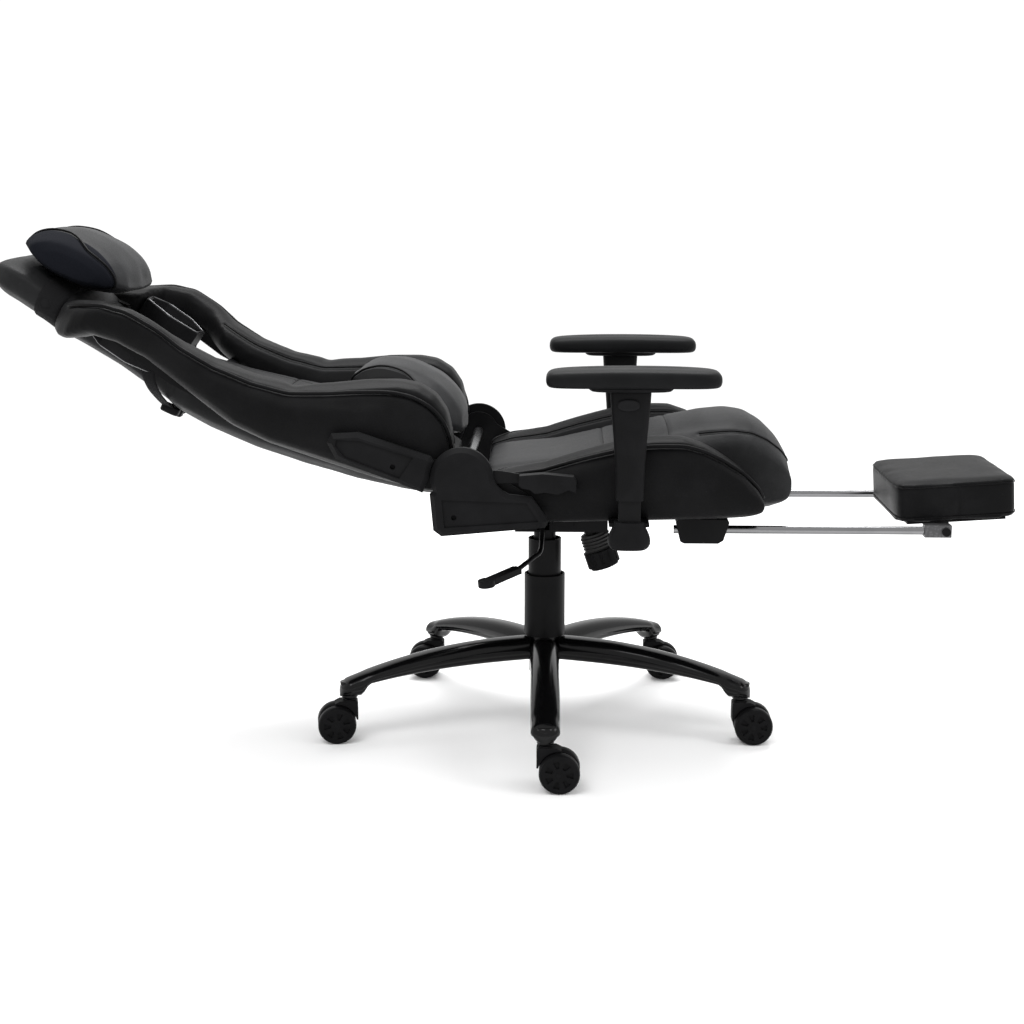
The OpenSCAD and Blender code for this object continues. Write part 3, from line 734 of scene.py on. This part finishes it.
def spoke_mesh(name, stem, low, high):
    """Leg of the base: rings along the radius. A ring is a rounded top half over a narrower lower
    half with a ledge between them; the top falls by a power of the distance from the hub."""
    reach = np.hypot(stem[0], stem[1])
    way = np.array([stem[0], stem[1], 0]) / reach
    side = np.array([-way[1], way[0], 0])
    r = np.concatenate([np.linspace(28, 330, 56), 330 + 16 * np.sin(np.linspace(0.1, 1.5, 9))]) * MM
    run = np.clip((r - 38 * MM) / (295 * MM), 0, None)
    top = high - 47 * MM * run ** 2.2
    under = 111 * MM - 25 * MM * run ** 2.5
    under = under - (under - low - 3 * MM) * ramp(r, 298 * MM, 314 * MM, eased=True)
    tip = np.sqrt(np.clip(1 - ramp(r, 330 * MM, 346 * MM) ** 2, 0.02, 1))
    half = (24 - 2 * np.clip(run, 0, 1)) * MM * tip
    top = under + (top - under) * (0.45 + 0.55 * tip)
    angle = np.linspace(0, 2 * np.pi, 44, endpoint=False)
    y, z = squircle(angle, 1.0, 1.0, 2.6)
    y = np.where(z > -0.12, y, y * 0.84)
    middle = (under + (top - under) * 0.42)[:, None]
    height = np.where(z[None] > 0, top[:, None] - middle, middle - under[:, None]) * z[None]
    grid = (way * r[:, None, None] + side * (half[:, None] * y[None])[..., None]
            + np.array([0, 0, 1]) * (middle + height)[..., None])
    return outward(grid_mesh(name, grid))


class CHAIR_OT_base(bpy.types.Operator):
    """Hub and five glossy legs, each with the socket of its castor."""

    bl_idname = "chair.base"
    bl_label = "Base"

    def execute(self, context):
        rounded("base_hub", "base", "black_gloss", 1.2)
        for k in range(1, 6):
            node = f"base_leg_{k}"
            low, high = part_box(node)
            stem = JOINTS[f"castor_swivel_{k}"]["pos_m"]
            mesh = spoke_mesh(f"spoke_{k}", stem, low.z, high.z)
            spoke = add_object(f"spoke_{k}", mesh, "base", "black_gloss", (node,))
            crease = spoke.modifiers.new("shading", "WEIGHTED_NORMAL")
            crease.weight = 60
            socket = socket_mesh(f"castor_socket_{k}", stem, low.z)
            add_object(f"castor_socket_{k}", socket, "base", "black_gloss")
        return {"FINISHED"}


def lathe(profile, centre, axis, sides=64):
    """Surface of revolution: (radius, distance) pairs turned about an axis through centre."""
    axis = np.asarray(axis, float) / np.linalg.norm(axis)
    helper = np.array([1.0, 0, 0]) if abs(axis[0]) < 0.9 else np.array([0, 1.0, 0])
    u = np.cross(axis, helper)
    u /= np.linalg.norm(u)
    v = np.cross(axis, u)
    angle = np.linspace(0, 2 * np.pi, sides, endpoint=False)
    ring = np.cos(angle)[:, None] * u + np.sin(angle)[:, None] * v
    profile = np.asarray(profile, float)
    out, along = profile[:, None, 0, None], profile[:, None, 1, None]
    return np.asarray(centre) + out * ring[None] + along * axis


def socket_mesh(name, stem, bottom):
    """Socket under a leg's end: a short turned boss with a rolled lower rim."""
    rim = [(5.6, 1.0), (5.6, 0.0), (11.5, 0.0), (12.6, 0.8), (13.0, 2.2), (13.2, 10.0),
           (14.0, 18.0), (15.0, 26.0), (6.0, 26.0)]
    grid = lathe(np.array(rim) * MM, (stem[0], stem[1], bottom), (0, 0, 1), 40)
    return outward(grid_mesh(name, grid, caps=False))


class CHAIR_OT_castors(bpy.types.Operator):
    """Five castors: hooded yokes and pairs of wheels."""

    bl_idname = "chair.castors"
    bl_label = "Castors"

    def execute(self, context):
        for k in range(1, 6):
            rounded(f"castor_yoke_{k}", f"castor_{k}", "black_plastic", 0.9)
            rounded(f"castor_wheels_{k}", f"wheels_{k}", "castor_tread", 0.6)
        return {"FINISHED"}


class CHAIR_OT_column(bpy.types.Operator):
    """Stand tube, gas spring and the two cover sleeves."""

    bl_idname = "chair.column"
    bl_label = "Column"

    def execute(self, context):
        rounded("stand_tube", "base", "black_satin", 0.8)
        rounded("lower_sleeve", "base", "black_satin", 0.9)
        rounded("upper_sleeve", "lift", "black_satin", 0.8)
        for node in ("piston_rod", "gas_cylinder", "valve_pin"):
            dress(node, "bright_steel")
        return {"FINISHED"}


def dress(node, material):
    """Gives a CAD node that shows as it is its finish."""
    mesh = frame["nodes"][node].data
    mesh.materials.clear()
    mesh.materials.append(MATERIALS[material])


LEVER_PATH = [(0, 6, 368), (-1, -16, 368), (-3, -40, 352), (-4, -62, 324), (-6, -110, 314),
              (-18, -134, 308), (-40, -166, 297)]


class CHAIR_OT_mechanism(bpy.types.Operator):
    """Tilt housing and plate, tension knob with its boot, and the height lever."""

    bl_idname = "chair.mechanism"
    bl_label = "Mechanism"

    def execute(self, context):
        rounded("tilt_housing", "lift", "black_satin", 1.2)
        rounded("tilt_plate", "seat", "black_satin", 1.0)
        rounded("tension_knob", "tension_screw", "black_plastic", 1.6, segments=3)
        rounded("spring_boot", "lift", "boot_rubber", 0.8)
        rounded("height_lever_grip", "height_lever", "black_plastic", 2.2, segments=3)
        dress("tension_spring", "bright_steel")
        dress("tilt_pivot_pin", "black_satin")
        dress("tilt_lock_slider", "black_satin")
        lever = grid_mesh("height_lever_bar", tube_grid(spline(LEVER_PATH, 90) * MM, 3.9 * MM, 16))
        add_object("height_lever_bar", lever, "height_lever", "black_satin", ("height_lever_rod",))
        return {"FINISHED"}


# ---- Seat ---------------------------------------------------------------------------------------


class CHAIR_OT_seat(bpy.types.Operator):
    """Seat cushion with its cross seams, and the two side bolsters with piped edges."""

    bl_idname = "chair.seat"
    bl_label = "Seat"

    def execute(self, context):
        sizes = context.scene.chair_sizes
        voxel = sizes.voxel
        pad = cushion("seat_pad", "seat_cushion", "seat", "seat_leather", voxel, 4 * MM, 1.5 * MM,
                      4, shape=crowned)
        low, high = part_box("seat_pad")
        tree = surface_tree(pad)
        seams = []
        for share in (0.39, 0.60):
            x = low.x + (high.x - low.x) * share
            starts = [(x, y, high.z + 0.05) for y in np.linspace(low.y * 0.94, high.y * 0.94, 140)]
            seams.append(dropped(tree, starts, (0, 0, -1)))
        sew(pad, [seam[0] for seam in seams], sizes.seam_width * 0.6, sizes.seam_depth * 0.35)
        # Dark cord on each seam: painted shade in the crease.
        for n, (path, normals) in enumerate(seams):
            seam_shade_cord(pad, f"seat_seam_{n}", path, normals, sizes, "seat")
        for side, word in ((1, "left"), (-1, "right")):
            path, normals = ridge(pad, 0, 2, np.linspace(0.24, high.x - 4 * MM, 90), 48, side)
            sew(pad, [path], sizes.seam_width * 0.5, sizes.seam_depth * 0.5)
            piping(f"front_seam_{word}", path, normals, sizes.piping_radius * 0.5, "seat",
                   "seat_leather")
            node = f"seat_bolster_{word}"
            bolster = cushion(node, f"seat_side_{word}", "seat", "side_leather", voxel, 5 * MM,
                              1 * MM, 4)
            drop_skirt(bolster, side)
            near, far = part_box(node)
            stations = np.linspace(near.x + 4 * MM, far.x - 3 * MM, 170)
            cords = (40, 1.15, stations), (-38, 0.5, stations)
            bolster_cords(bolster, f"seat_{word}", "seat", side, sizes, cords, (0, 2))
        dress("seat_frame", "black_satin")
        return {"FINISHED"}


def crowned(points):
    """Rounds the seat's front across: the top falls by up to 24 mm towards the sides, as |y| to
    the 2.4, and the fall fades out behind the middle of the seat and down the front face."""
    points = points.copy()
    front = ramp(points[:, 0], 120 * MM, 240 * MM, eased=True)
    upper = ramp(points[:, 2], 420 * MM, 500 * MM)
    out = np.abs(points[:, 1]) / (145 * MM)
    points[:, 2] -= 24 * MM * front * upper * out ** 2.4
    return points


def drop_skirt(bolster, side):
    """Lets the outer lower edge of a seat bolster hang: the drop fades forwards and inwards."""
    points = mesh_points(bolster.data)
    along = ramp(points[:, 0], 330 * MM, 0) ** 0.5
    out = ramp(side * points[:, 1], 170 * MM, 220 * MM, eased=True)
    down = ramp(points[:, 2], 450 * MM, 400 * MM)
    points[:, 2] -= 12 * MM * along * out * down
    set_points(bolster.data, points)


def ridge(made, along, up, stations, lean, side, inverse=None, forward=None):
    """Path on a piece's surface past stations of one coordinate. At each station the piece's slice
    gives a middle and half sizes, and a ray towards the middle comes in at the given lean: 0 from
    above, 90 from the side. The path is then evened out and laid on the surface."""
    reach = 7 * MM
    points = mesh_points(made.data)
    if inverse:
        points = inverse(points)
    tree = surface_tree(made)
    path = []
    angle = np.radians(lean)
    for station in stations:
        cut = points[np.abs(points[:, along] - station) < reach]
        if len(cut) < 8:
            continue
        middle = (cut.min(0) + cut.max(0)) / 2
        half = (cut.max(0) - cut.min(0)) / 2
        middle[along] = station
        ray = np.zeros(3)
        ray[up] = np.cos(angle) * half[up]
        ray[1] = np.sin(angle) * half[1] * side
        start = middle + ray * 3
        if forward:
            start, middle = forward(start)[0], forward(middle)[0]
        hit = tree.ray_cast(Vector(start), Vector(middle - start))
        if hit[0] is not None:
            path.append(hit[0])
    return nearest(tree, smooth_path(np.array(path), 40))


def bolster_cords(bolster, label, body, side, sizes, cords, axes, **turns):
    """Cords along a bolster's edges. Each has a lean, a share of the piping radius and stations."""
    for n, (lean, share, stations) in enumerate(cords):
        path, normals = ridge(bolster, *axes, stations, lean, side, **turns)
        sew(bolster, [path], sizes.seam_width * 0.8, sizes.seam_depth * 0.8)
        piping(f"piping_{label}_{n}", path, normals, sizes.piping_radius * share, body)


class CHAIR_OT_recliner(bpy.types.Operator):
    """Recliner covers, hinge arm covers, rod and the recline lever."""

    bl_idname = "chair.recliner"
    bl_label = "Recliner"

    def execute(self, context):
        band = (7 * MM, 9 * MM)
        rounded("recliner_covers", "seat", "black_plastic", 0.9, chamfer=band)
        rounded("hinge_arm_covers", "back", "black_plastic", 0.9, chamfer=band)
        rounded("recline_lever", "recline_handle", "bright_steel", 0.6, "black_satin")
        rounded("recline_grip", "recline_handle", "black_plastic", 2.4, segments=3)
        dress("recliner_rod", "bright_steel")
        return {"FINISHED"}


# ---- Back ---------------------------------------------------------------------------------------


class CHAIR_OT_back(bpy.types.Operator):
    """Centre panel of the back with the head section, winged bolsters and belt-hole bezels."""

    bl_idname = "chair.back"
    bl_label = "Back"

    def execute(self, context):
        sizes = context.scene.chair_sizes
        voxel = sizes.voxel
        pad = cushion("back_pad", "back_cushion", "back", "seat_leather", voxel, 5 * MM, 2 * MM, 5)
        tree = surface_tree(pad)
        forward = laid_direction((1, 0, 0))
        seams = []
        for height in (0.31, 0.47, 0.632):
            starts = laid([(0.2, y, height) for y in np.linspace(-0.13, 0.13, 140)])
            seams.append(dropped(tree, starts, -forward))
        sew(pad, [seam[0] for seam in seams], sizes.seam_width * 0.6, sizes.seam_depth * 0.35)
        # Dark cord on each seam: painted shade in the crease.
        for n, (path, normals) in enumerate(seams):
            seam_shade_cord(pad, f"back_seam_{n}", path, normals, sizes, "back")
        for side, word in ((1, "left"), (-1, "right")):
            starts = laid(np.stack([np.full(120, 0.2), side * np.linspace(0.094, 0.046, 120),
                                    np.linspace(0.475, 0.25, 120)], -1))
            path, normals = dropped(surface_tree(pad), starts, -forward)
            sew(pad, [path], sizes.seam_width * 0.6, sizes.seam_depth * 0.35)
            # Dark cord on the panel seam: painted shade in the crease.
            seam_shade_cord(pad, f"panel_seam_{word}", path, normals, sizes, "back")
        for side, word in ((1, "left"), (-1, "right")):
            node = f"back_bolster_{word}"
            bolster = cushion(node, f"back_side_{word}", "back", "side_leather", voxel, 5 * MM,
                              1 * MM, 5)
            cords = ((44, 1.15, np.linspace(0.032, 0.642, 190)),
                     (-42, 0.5, np.linspace(0.032, 0.47, 190)))
            bolster_cords(bolster, f"back_{word}", "back", side, sizes, cords, (2, 0),
                          inverse=upright, forward=laid)
        rounded("belt_bezels", "back", "black_plastic", 1.2, "pale_plastic")
        # Bright steel cords round the belt holes: painted highlight on their rims.
        painted_rim_cords()
        dress("back_frame", "black_satin")
        return {"FINISHED"}


def upright(points):
    """Takes points of the laid-back rest place to (forward, sideways, up) of the upright back."""
    d = np.atleast_2d(np.asarray(points, float)) - RECLINE_AXIS
    c, s = np.cos(REST_LEAN), np.sin(REST_LEAN)
    return np.stack([d[:, 0] * c + d[:, 2] * s, d[:, 1], d[:, 2] * c - d[:, 0] * s], -1)


BEZEL_TILT = np.radians(10)
BEZEL_CENTRE = (-44 * MM, 550 * MM)


def painted_rim_cords():
    """Painted highlight round the front and rear rims of the belt holes: a thin bright cord on each
    outline stands for the light the rims catch, and leans by BEZEL_TILT about BEZEL_CENTRE, forward
    and up, on the upright back."""
    c, s = np.cos(BEZEL_TILT), np.sin(BEZEL_TILT)
    outline = np.array([(93, 552), (109, 503), (149, 499), (183, 531), (183, 577), (149, 603),
                        (111, 599)]) * MM
    for side, word in ((1, "left"), (-1, "right")):
        for label, depth in (("front", 21.3 * MM), ("rear", -21.3 * MM)):
            path = np.vstack([np.linspace(start, end, 12, endpoint=False)
                              for start, end in zip(outline, np.roll(outline, -1, 0))])
            path = (path + np.roll(path, 1, 0) + np.roll(path, -1, 0)) / 3
            rise = path[:, 1] - BEZEL_CENTRE[1]
            points = laid(np.stack([BEZEL_CENTRE[0] + depth * c + rise * s, side * path[:, 0],
                                    BEZEL_CENTRE[1] + rise * c - depth * s], -1))
            grid = tube_grid(np.vstack([points, points[:2]]), 1.3 * MM, CORD_SIDES,
                             np.tile(laid_direction((1, 0, 0)), (len(points) + 2, 1)))
            add_object(f"belt_rim_highlight_{label}_{word}", grid_mesh(f"belt_rim_highlight_{label}_{word}", grid),
                       "back", "bright_steel")


def pinched(points):
    """Thins a pillow of the back towards its upper and lower ends, like a lens: the thickness
    about a rear plane is multiplied by 1 - 0.66 |u| to the 2.6, with u from -1 to 1 along it."""
    p = upright(points)
    low, high = p.min(0), p.max(0)
    u = np.clip((2 * p[:, 2] - low[2] - high[2]) / (high[2] - low[2]), -1, 1)
    rear = low[0] + 0.22 * (high[0] - low[0])
    p[:, 0] = rear + (p[:, 0] - rear) * 0.94 * (1 - 0.66 * np.abs(u) ** 2.6)
    return laid(p)


class CHAIR_OT_pillows(bpy.types.Operator):
    """Lumbar and head pillows and the head pillow's strap."""

    bl_idname = "chair.pillows"
    bl_label = "Pillows"

    def execute(self, context):
        sizes = context.scene.chair_sizes
        for node, half, material in (("lumbar_pillow", 0.096, "lumbar_cover"),
                                     ("head_pillow", 0.084, "head_cover")):
            pillow = cushion(node, f"{node}_cover", "back", "pillow_leather", sizes.voxel,
                             6 * MM, 3 * MM, material=material, shape=pinched)
            low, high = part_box(node)
            tree = surface_tree(pillow)
            middle = np.array((low + high) / 2)
            angle = np.linspace(0, 2 * np.pi, 180)
            for side in (1, -1):
                ring = np.stack([middle[0] + 0.3 * np.cos(angle),
                                 side * (half + PANEL_SLANT * 0.09 * np.cos(angle)),
                                 middle[2] + 0.3 * np.sin(angle)], -1)
                inward = np.stack([-np.cos(angle), np.zeros(180), -np.sin(angle)], -1)
                hits = [tree.ray_cast(Vector(p), Vector(d)) for p, d in zip(ring, inward)]
                path = np.array([h[0] for h in hits if h[0] is not None])
                normals = np.array([h[1] for h in hits if h[0] is not None])
                sew(pillow, [path], sizes.seam_width * 0.7, sizes.seam_depth * 0.6)
                word = "left" if side > 0 else "right"
                piping(f"{node}_piping_{word}", path, normals, sizes.piping_radius * 0.7, "back",
                       "pillow_leather")
        strap_round_head(sizes)
        rear_straps()
        return {"FINISHED"}


def strap_round_head(sizes):
    """Elastic strap: a flat band that follows the head section's outline, 1 mm off it."""
    tree = surface_tree(bpy.data.objects["back_cushion"])
    angle = np.linspace(0, 2 * np.pi, 120, endpoint=False)
    rows = []
    middle = -55 * MM
    for height in np.linspace(-0.5, 0.5, 9) * sizes.strap_width + 684 * MM:
        ring = np.stack([middle + 0.25 * np.cos(angle), 0.25 * np.sin(angle),
                         np.full(120, height)], -1)
        centre = laid([(middle, 0, height)])[0]
        starts = laid(ring)
        points = []
        for p in starts:
            hit = tree.ray_cast(Vector(p), Vector(centre - p))
            points.append(np.array(hit[0]) + np.array(hit[1]) * 1.0 * MM)
        rows.append(points)
    mesh = grid_mesh("head_strap", np.array(rows), caps=False)
    strap_object("head_strap", outward(mesh), 1)


def strap_object(name, mesh, offset):
    """Elastic band with a thickness, to one side of its sheet or about it."""
    strap = add_object(name, mesh, "back", "side_leather", (), "elastic")
    wall = strap.modifiers.new("thickness", "SOLIDIFY")
    wall.thickness = 1.6 * MM
    wall.offset = offset


def rear_straps():
    """Strap of the lumbar pillow: a band from hole to hole behind the back, with two buckles."""
    hang = np.array([(-40, 146, 512), (-78, 142, 503), (-100, 126, 490), (-117, 96, 476),
                     (-131, 60, 464), (-137, 30, 459), (-138, 0, 457)])
    half = spline(hang, 50)
    path = np.vstack([half, (half * (1, -1, 1))[-2::-1]]) * MM
    rows = [laid(path + (0, 0, offset)) for offset in np.linspace(-11, 11, 5) * MM]
    grid = np.swapaxes(np.array(rows), 0, 1)
    strap_object("lumbar_strap",
                 grid_mesh("lumbar_strap", grid, close_rings=False, caps=False), 0)
    for n, (sideways, tall) in enumerate(((-62, 15), (-30, 13))):
        middle = np.array([-131 - n * 6, sideways, 463 - n * 3]) * MM
        inset, depth = np.array([(6, -6), (1.2, -6), (0, -4.6), (0, 4.6), (1.2, 6), (6, 6)]).T
        mesh = stack_mesh(f"strap_buckle_{n}", 48, 4, 13 - inset, tall - inset, depth,
                          lambda y, z, x: on_back(middle + np.stack([x, y, z], -1)))
        add_object(f"strap_buckle_{n}", mesh, "back", "black_plastic")


# ---- Arms ---------------------------------------------------------------------------------------


ARM_X = 128 * MM


def arm_tower(name, low, high, centre_y, stations, rings, count, power):
    """Rings stacked up an arm: height and half sizes follow a spline through the stations."""
    height, half_x, half_y = spline(np.array(stations), rings).T
    return stack_mesh(name, count, power, half_x, half_y, height, lambda x, y, z: np.stack(
        [ARM_X + x, centre_y + y, np.clip(low.z + z, low.z, high.z)], -1))


def arm_column_mesh(name, low, high):
    """Sleeve of an arm: its lower lip turns in round the post, and it widens to a flared head."""
    stations = [[0, 17, 12], [0, 19.4, 14], [1.2, 20.4, 15], [10, 20.7, 15.4], [44, 21.6, 16.4],
                [90, 24.6, 18], [126, 27.6, 19.4], [140, 28.8, 20], [156, 29.8, 20.3],
                [160.5, 29.6, 20], [161.8, 28.4, 19], [161.8, 20, 12]]
    return arm_tower(name, low, high, (low.y + high.y) / 2, stations, 70, 88, 3.6)


def arm_foot_mesh(name, low, high, side):
    """Moulded foot round an arm's bracket: a rounded body that swells towards its flat base."""
    stations = [[0, 12, 10], [0, 21, 16], [1.4, 25.6, 19.2], [6, 30, 21.6], [12, 31.6, 22.4],
                [20, 30.4, 21.8], [28, 27, 20.4], [35, 23.6, 18.8], [40, 22, 17.8],
                [41.6, 21.2, 17], [42, 16, 12]]
    return arm_tower(name, low, high, side * 262 * MM, stations, 56, 80, 3.2)


def arm_pad_mesh(name, low, high):
    """Arm pad: rings of a rounded outline stacked from the underplate to a domed top. Each ring is
    the outline drawn in by an inset that follows the pad's side profile."""
    centre = (low + high) / 2
    length = (high.x - low.x) / 2
    width = (high.y - low.y) / 2
    profile = np.array([[26, 6.2], [10, 6.2], [4.5, 7.2], [1.6, 10.0], [0.2, 14.5], [0, 19.0],
                        [0.5, 23.5], [2.2, 27.4], [5.2, 30.4], [9.5, 32.2], [17, 33.4], [28, 33.9],
                        [40, 34.0]])
    inset, height = spline(profile, 60).T

    def place(x, y, z):
        sag = 3.5 * MM * (x / length) ** 2 * (z / (34 * MM))
        return np.stack([centre.x + x, centre.y + y, np.minimum(low.z + z - sag, high.z)], -1)

    return stack_mesh(name, 120, 4.2, length / MM - inset, width / MM - inset, height, place)


class CHAIR_OT_arms(bpy.types.Operator):
    """Arm brackets, sleeves, buttons and skinned foam pads."""

    bl_idname = "chair.arms"
    bl_label = "Arms"

    def execute(self, context):
        rounded("arm_brackets", "seat", "black_satin", 1.2)
        low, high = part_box("arm_foot_caps")
        for side, word in ((1, "left"), (-1, "right")):
            stands_for = ("arm_foot_caps",) if side > 0 else ()
            add_object(f"arm_foot_{word}", arm_foot_mesh(f"arm_foot_{word}", low, high, side),
                       "seat", "black_plastic", stands_for)
        for word in ("left", "right"):
            low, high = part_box(f"arm_sleeve_{word}")
            add_object(f"arm_column_{word}", arm_column_mesh(f"arm_column_{word}", low, high),
                       f"arm_{word}", "black_plastic", (f"arm_sleeve_{word}",))
            low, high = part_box(f"arm_button_{word}")
            side = 1 if word == "left" else -1
            add_object(f"arm_push_{word}", button_mesh(f"arm_push_{word}", low, high, side),
                       f"arm_button_{word}", "black_plastic", (f"arm_button_{word}",),
                       "pale_plastic")
            node = f"arm_pad_{word}"
            low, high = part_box(node)
            add_object(f"arm_cushion_{word}", arm_pad_mesh(f"arm_cushion_{word}", low, high),
                       f"arm_{word}", "arm_foam", (node,))
            plate = underplate_mesh(f"arm_underplate_{word}", low, high)
            add_object(f"arm_underplate_{word}", plate, f"arm_{word}", "black_plastic")
        return {"FINISHED"}


def button_mesh(name, low, high, side):
    """Oval push button: rings of an ellipse drawn in over a rounded rim towards the dished face."""
    centre = (low + high) / 2
    inset, share = np.array([(6, 0), (0, 0), (0, 0.75), (0.5, 0.9), (1.6, 1.0), (4, 0.92),
                             (7, 0.86)]).T
    across = (high.y - low.y) * (share - 0.5) * side / MM
    return stack_mesh(name, 64, 2.3, 16 - inset, 8.5 - inset, across, lambda x, z, y: np.stack(
        [centre.x + x, centre.y + y, centre.z + z], -1))


def underplate_mesh(name, low, high):
    """Plate under an arm pad: a rounded outline 124 mm long, drawn in towards its lower face."""
    centre = (low + high) / 2
    inset, height = np.array([(30, 0.0), (8, 0.0), (4, 0.8), (1, 3.0), (0, 6.4), (12, 6.4)]).T
    return stack_mesh(name, 72, 5, 62 - inset, 36 - inset, height, lambda x, y, z: np.stack(
        [centre.x - 4 * MM + x, centre.y + y, low.z + z], -1))


# ---- Footrest -----------------------------------------------------------------------------------


class CHAIR_OT_footrest(bpy.types.Operator):
    """Footrest rods, clamps, brackets, hinge plate and sewn pad."""

    bl_idname = "chair.footrest"
    bl_label = "Footrest"

    def execute(self, context):
        sizes = context.scene.chair_sizes
        rounded("footrest_brackets", "seat", "black_satin", 1.4)
        rounded("footrest_rods", "footrest_slide", "chrome", 0.8)
        rounded("footrest_clamps", "footrest_slide", "zinc", 1.2)
        rounded("footrest_hinge", "footrest", "black_satin", 0.8)
        pad = cushion("footrest_pad", "footrest_cushion", "footrest", "footrest_leather",
                      sizes.voxel, 4 * MM, 0.5 * MM, smooth=3)
        tree = surface_tree(pad)
        half_x, half_y, thick = 0.091, 0.122, 0.060
        angle = np.linspace(0, 2 * np.pi, 400)
        for label, height in (("top", thick - 0.006), ("under", 0.007)):
            x, y = squircle(angle, half_x, half_y, 9)
            starts = on_footrest(np.stack([0.028 + x, y, np.full(400, 0.008 + height)], -1))
            path, normals = nearest(tree, smooth_path(nearest(tree, starts)[0], 12))
            sew(pad, [path], sizes.seam_width * 0.5, sizes.seam_depth * 0.25)
            piping(f"footrest_piping_{label}", path, normals, sizes.piping_radius * 0.35,
                   "footrest", "footrest_leather")
        seams = []
        for side in (1, -1):
            line = on_footrest(np.stack([np.full(60, 0.028), np.full(60, side * half_y),
                                         np.linspace(0.014, thick + 0.002, 60)], -1))
            seams.append(nearest(tree, line)[0])
        sew(pad, seams, sizes.seam_width * 0.5, sizes.seam_depth * 0.5)
        return {"FINISHED"}


def on_footrest(points):
    """Takes points of the level footrest, measured from its hinge, to their tilted rest place."""
    p = np.asarray(points, float)
    c, s = np.cos(FOOT_TILT), np.sin(FOOT_TILT)
    return np.stack([FOOT_AXIS[0] + p[:, 0] * c - p[:, 2] * s, p[:, 1],
                     FOOT_AXIS[2] + p[:, 0] * s + p[:, 2] * c], -1)


# ---- Stage --------------------------------------------------------------------------------------


def area_light(name, place, target, size, power):
    lamp = bpy.data.lights.new(name, "AREA")
    lamp.shape = "RECTANGLE"
    lamp.size, lamp.size_y = size
    lamp.energy = power
    made = bpy.data.objects.new(name, lamp)
    made.location = place
    made.rotation_euler = (Vector(target) - Vector(place)).to_track_quat("-Z", "Y").to_euler()
    bpy.context.scene.collection.objects.link(made)


class CHAIR_OT_stage(bpy.types.Operator):
    """Camera, pale floor and soft studio light."""

    bl_idname = "chair.stage"
    bl_label = "Stage"

    def execute(self, context):
        scene = context.scene
        lens = bpy.data.cameras.new("camera")
        lens.lens = 60.31
        lens.sensor_width = 36
        eye = bpy.data.objects.new("camera", lens)
        eye.location = (0.0342, -2.7542, 0.89)
        eye.rotation_euler = (np.radians(90 - 10.97), 0, np.radians(1.83))
        scene.collection.objects.link(eye)
        scene.camera = eye
        floor = surface_mesh("floor", [(-9, -9, 0), (9, -9, 0), (9, 9, 0), (-9, 9, 0)],
                             [(0, 1, 2, 3)])
        ground = bpy.data.objects.new("floor", floor)
        scene.collection.objects.link(ground)
        shader = Shader("floor_paper")
        tone = shader.blend(shader.noise(3.0), (0.93, 0.93, 0.93, 1), (0.97, 0.97, 0.97, 1))
        floor.materials.append(shader.finish(Base_Color=tone, Roughness=0.9))
        world = bpy.data.worlds.new("studio")
        world.use_nodes = True
        backdrop = world.node_tree.nodes["Background"]
        backdrop.inputs["Color"].default_value = (1, 1, 1, 1)
        backdrop.inputs["Strength"].default_value = 1.08
        scene.world = world
        scene.view_settings.view_transform = "Standard"
        area_light("key_light", (-0.9, -1.7, 2.6), (-0.1, 0, 0.4), (1.5, 0.8), 26)
        area_light("fill_light", (2.2, -0.9, 1.9), (0.2, 0, 0.4), (0.9, 0.9), 14)
        area_light("top_light", (-0.2, 0.9, 2.6), (-0.1, 0, 0.5), (2.4, 0.9), 88)
        return {"FINISHED"}


class CHAIR_PT_panel(bpy.types.Panel):
    """Lists the operators that build the chair."""

    bl_label = "Gaming Chair"
    bl_idname = "CHAIR_PT_panel"
    bl_space_type = "VIEW_3D"
    bl_region_type = "UI"
    bl_category = "Chair"

    def draw(self, context):
        for operator in BUILD_ORDER:
            self.layout.operator(operator.bl_idname)
        for group in (context.scene.chair_sizes, context.scene.chair_colours):
            for name in group.__annotations__:
                self.layout.prop(group, name)


BUILD_ORDER = (
    CHAIR_OT_stage, CHAIR_OT_base, CHAIR_OT_castors, CHAIR_OT_column, CHAIR_OT_mechanism,
    CHAIR_OT_seat, CHAIR_OT_recliner, CHAIR_OT_back, CHAIR_OT_pillows, CHAIR_OT_arms,
    CHAIR_OT_footrest,
)
CLASSES = (ChairSizes, ChairColours, *BUILD_ORDER, CHAIR_PT_panel)


def register():
    for cls in CLASSES:
        bpy.utils.register_class(cls)
    bpy.types.Scene.chair_sizes = bpy.props.PointerProperty(type=ChairSizes)
    bpy.types.Scene.chair_colours = bpy.props.PointerProperty(type=ChairColours)


def unregister():
    del bpy.types.Scene.chair_sizes
    del bpy.types.Scene.chair_colours
    for cls in reversed(CLASSES):
        bpy.utils.unregister_class(cls)


def main():
    register()
    make_materials(bpy.context.scene.chair_colours)
    for operator in BUILD_ORDER:
        namespace, action = operator.bl_idname.split(".")
        getattr(getattr(bpy.ops, namespace), action)()


if __name__ == "__main__":
    main()
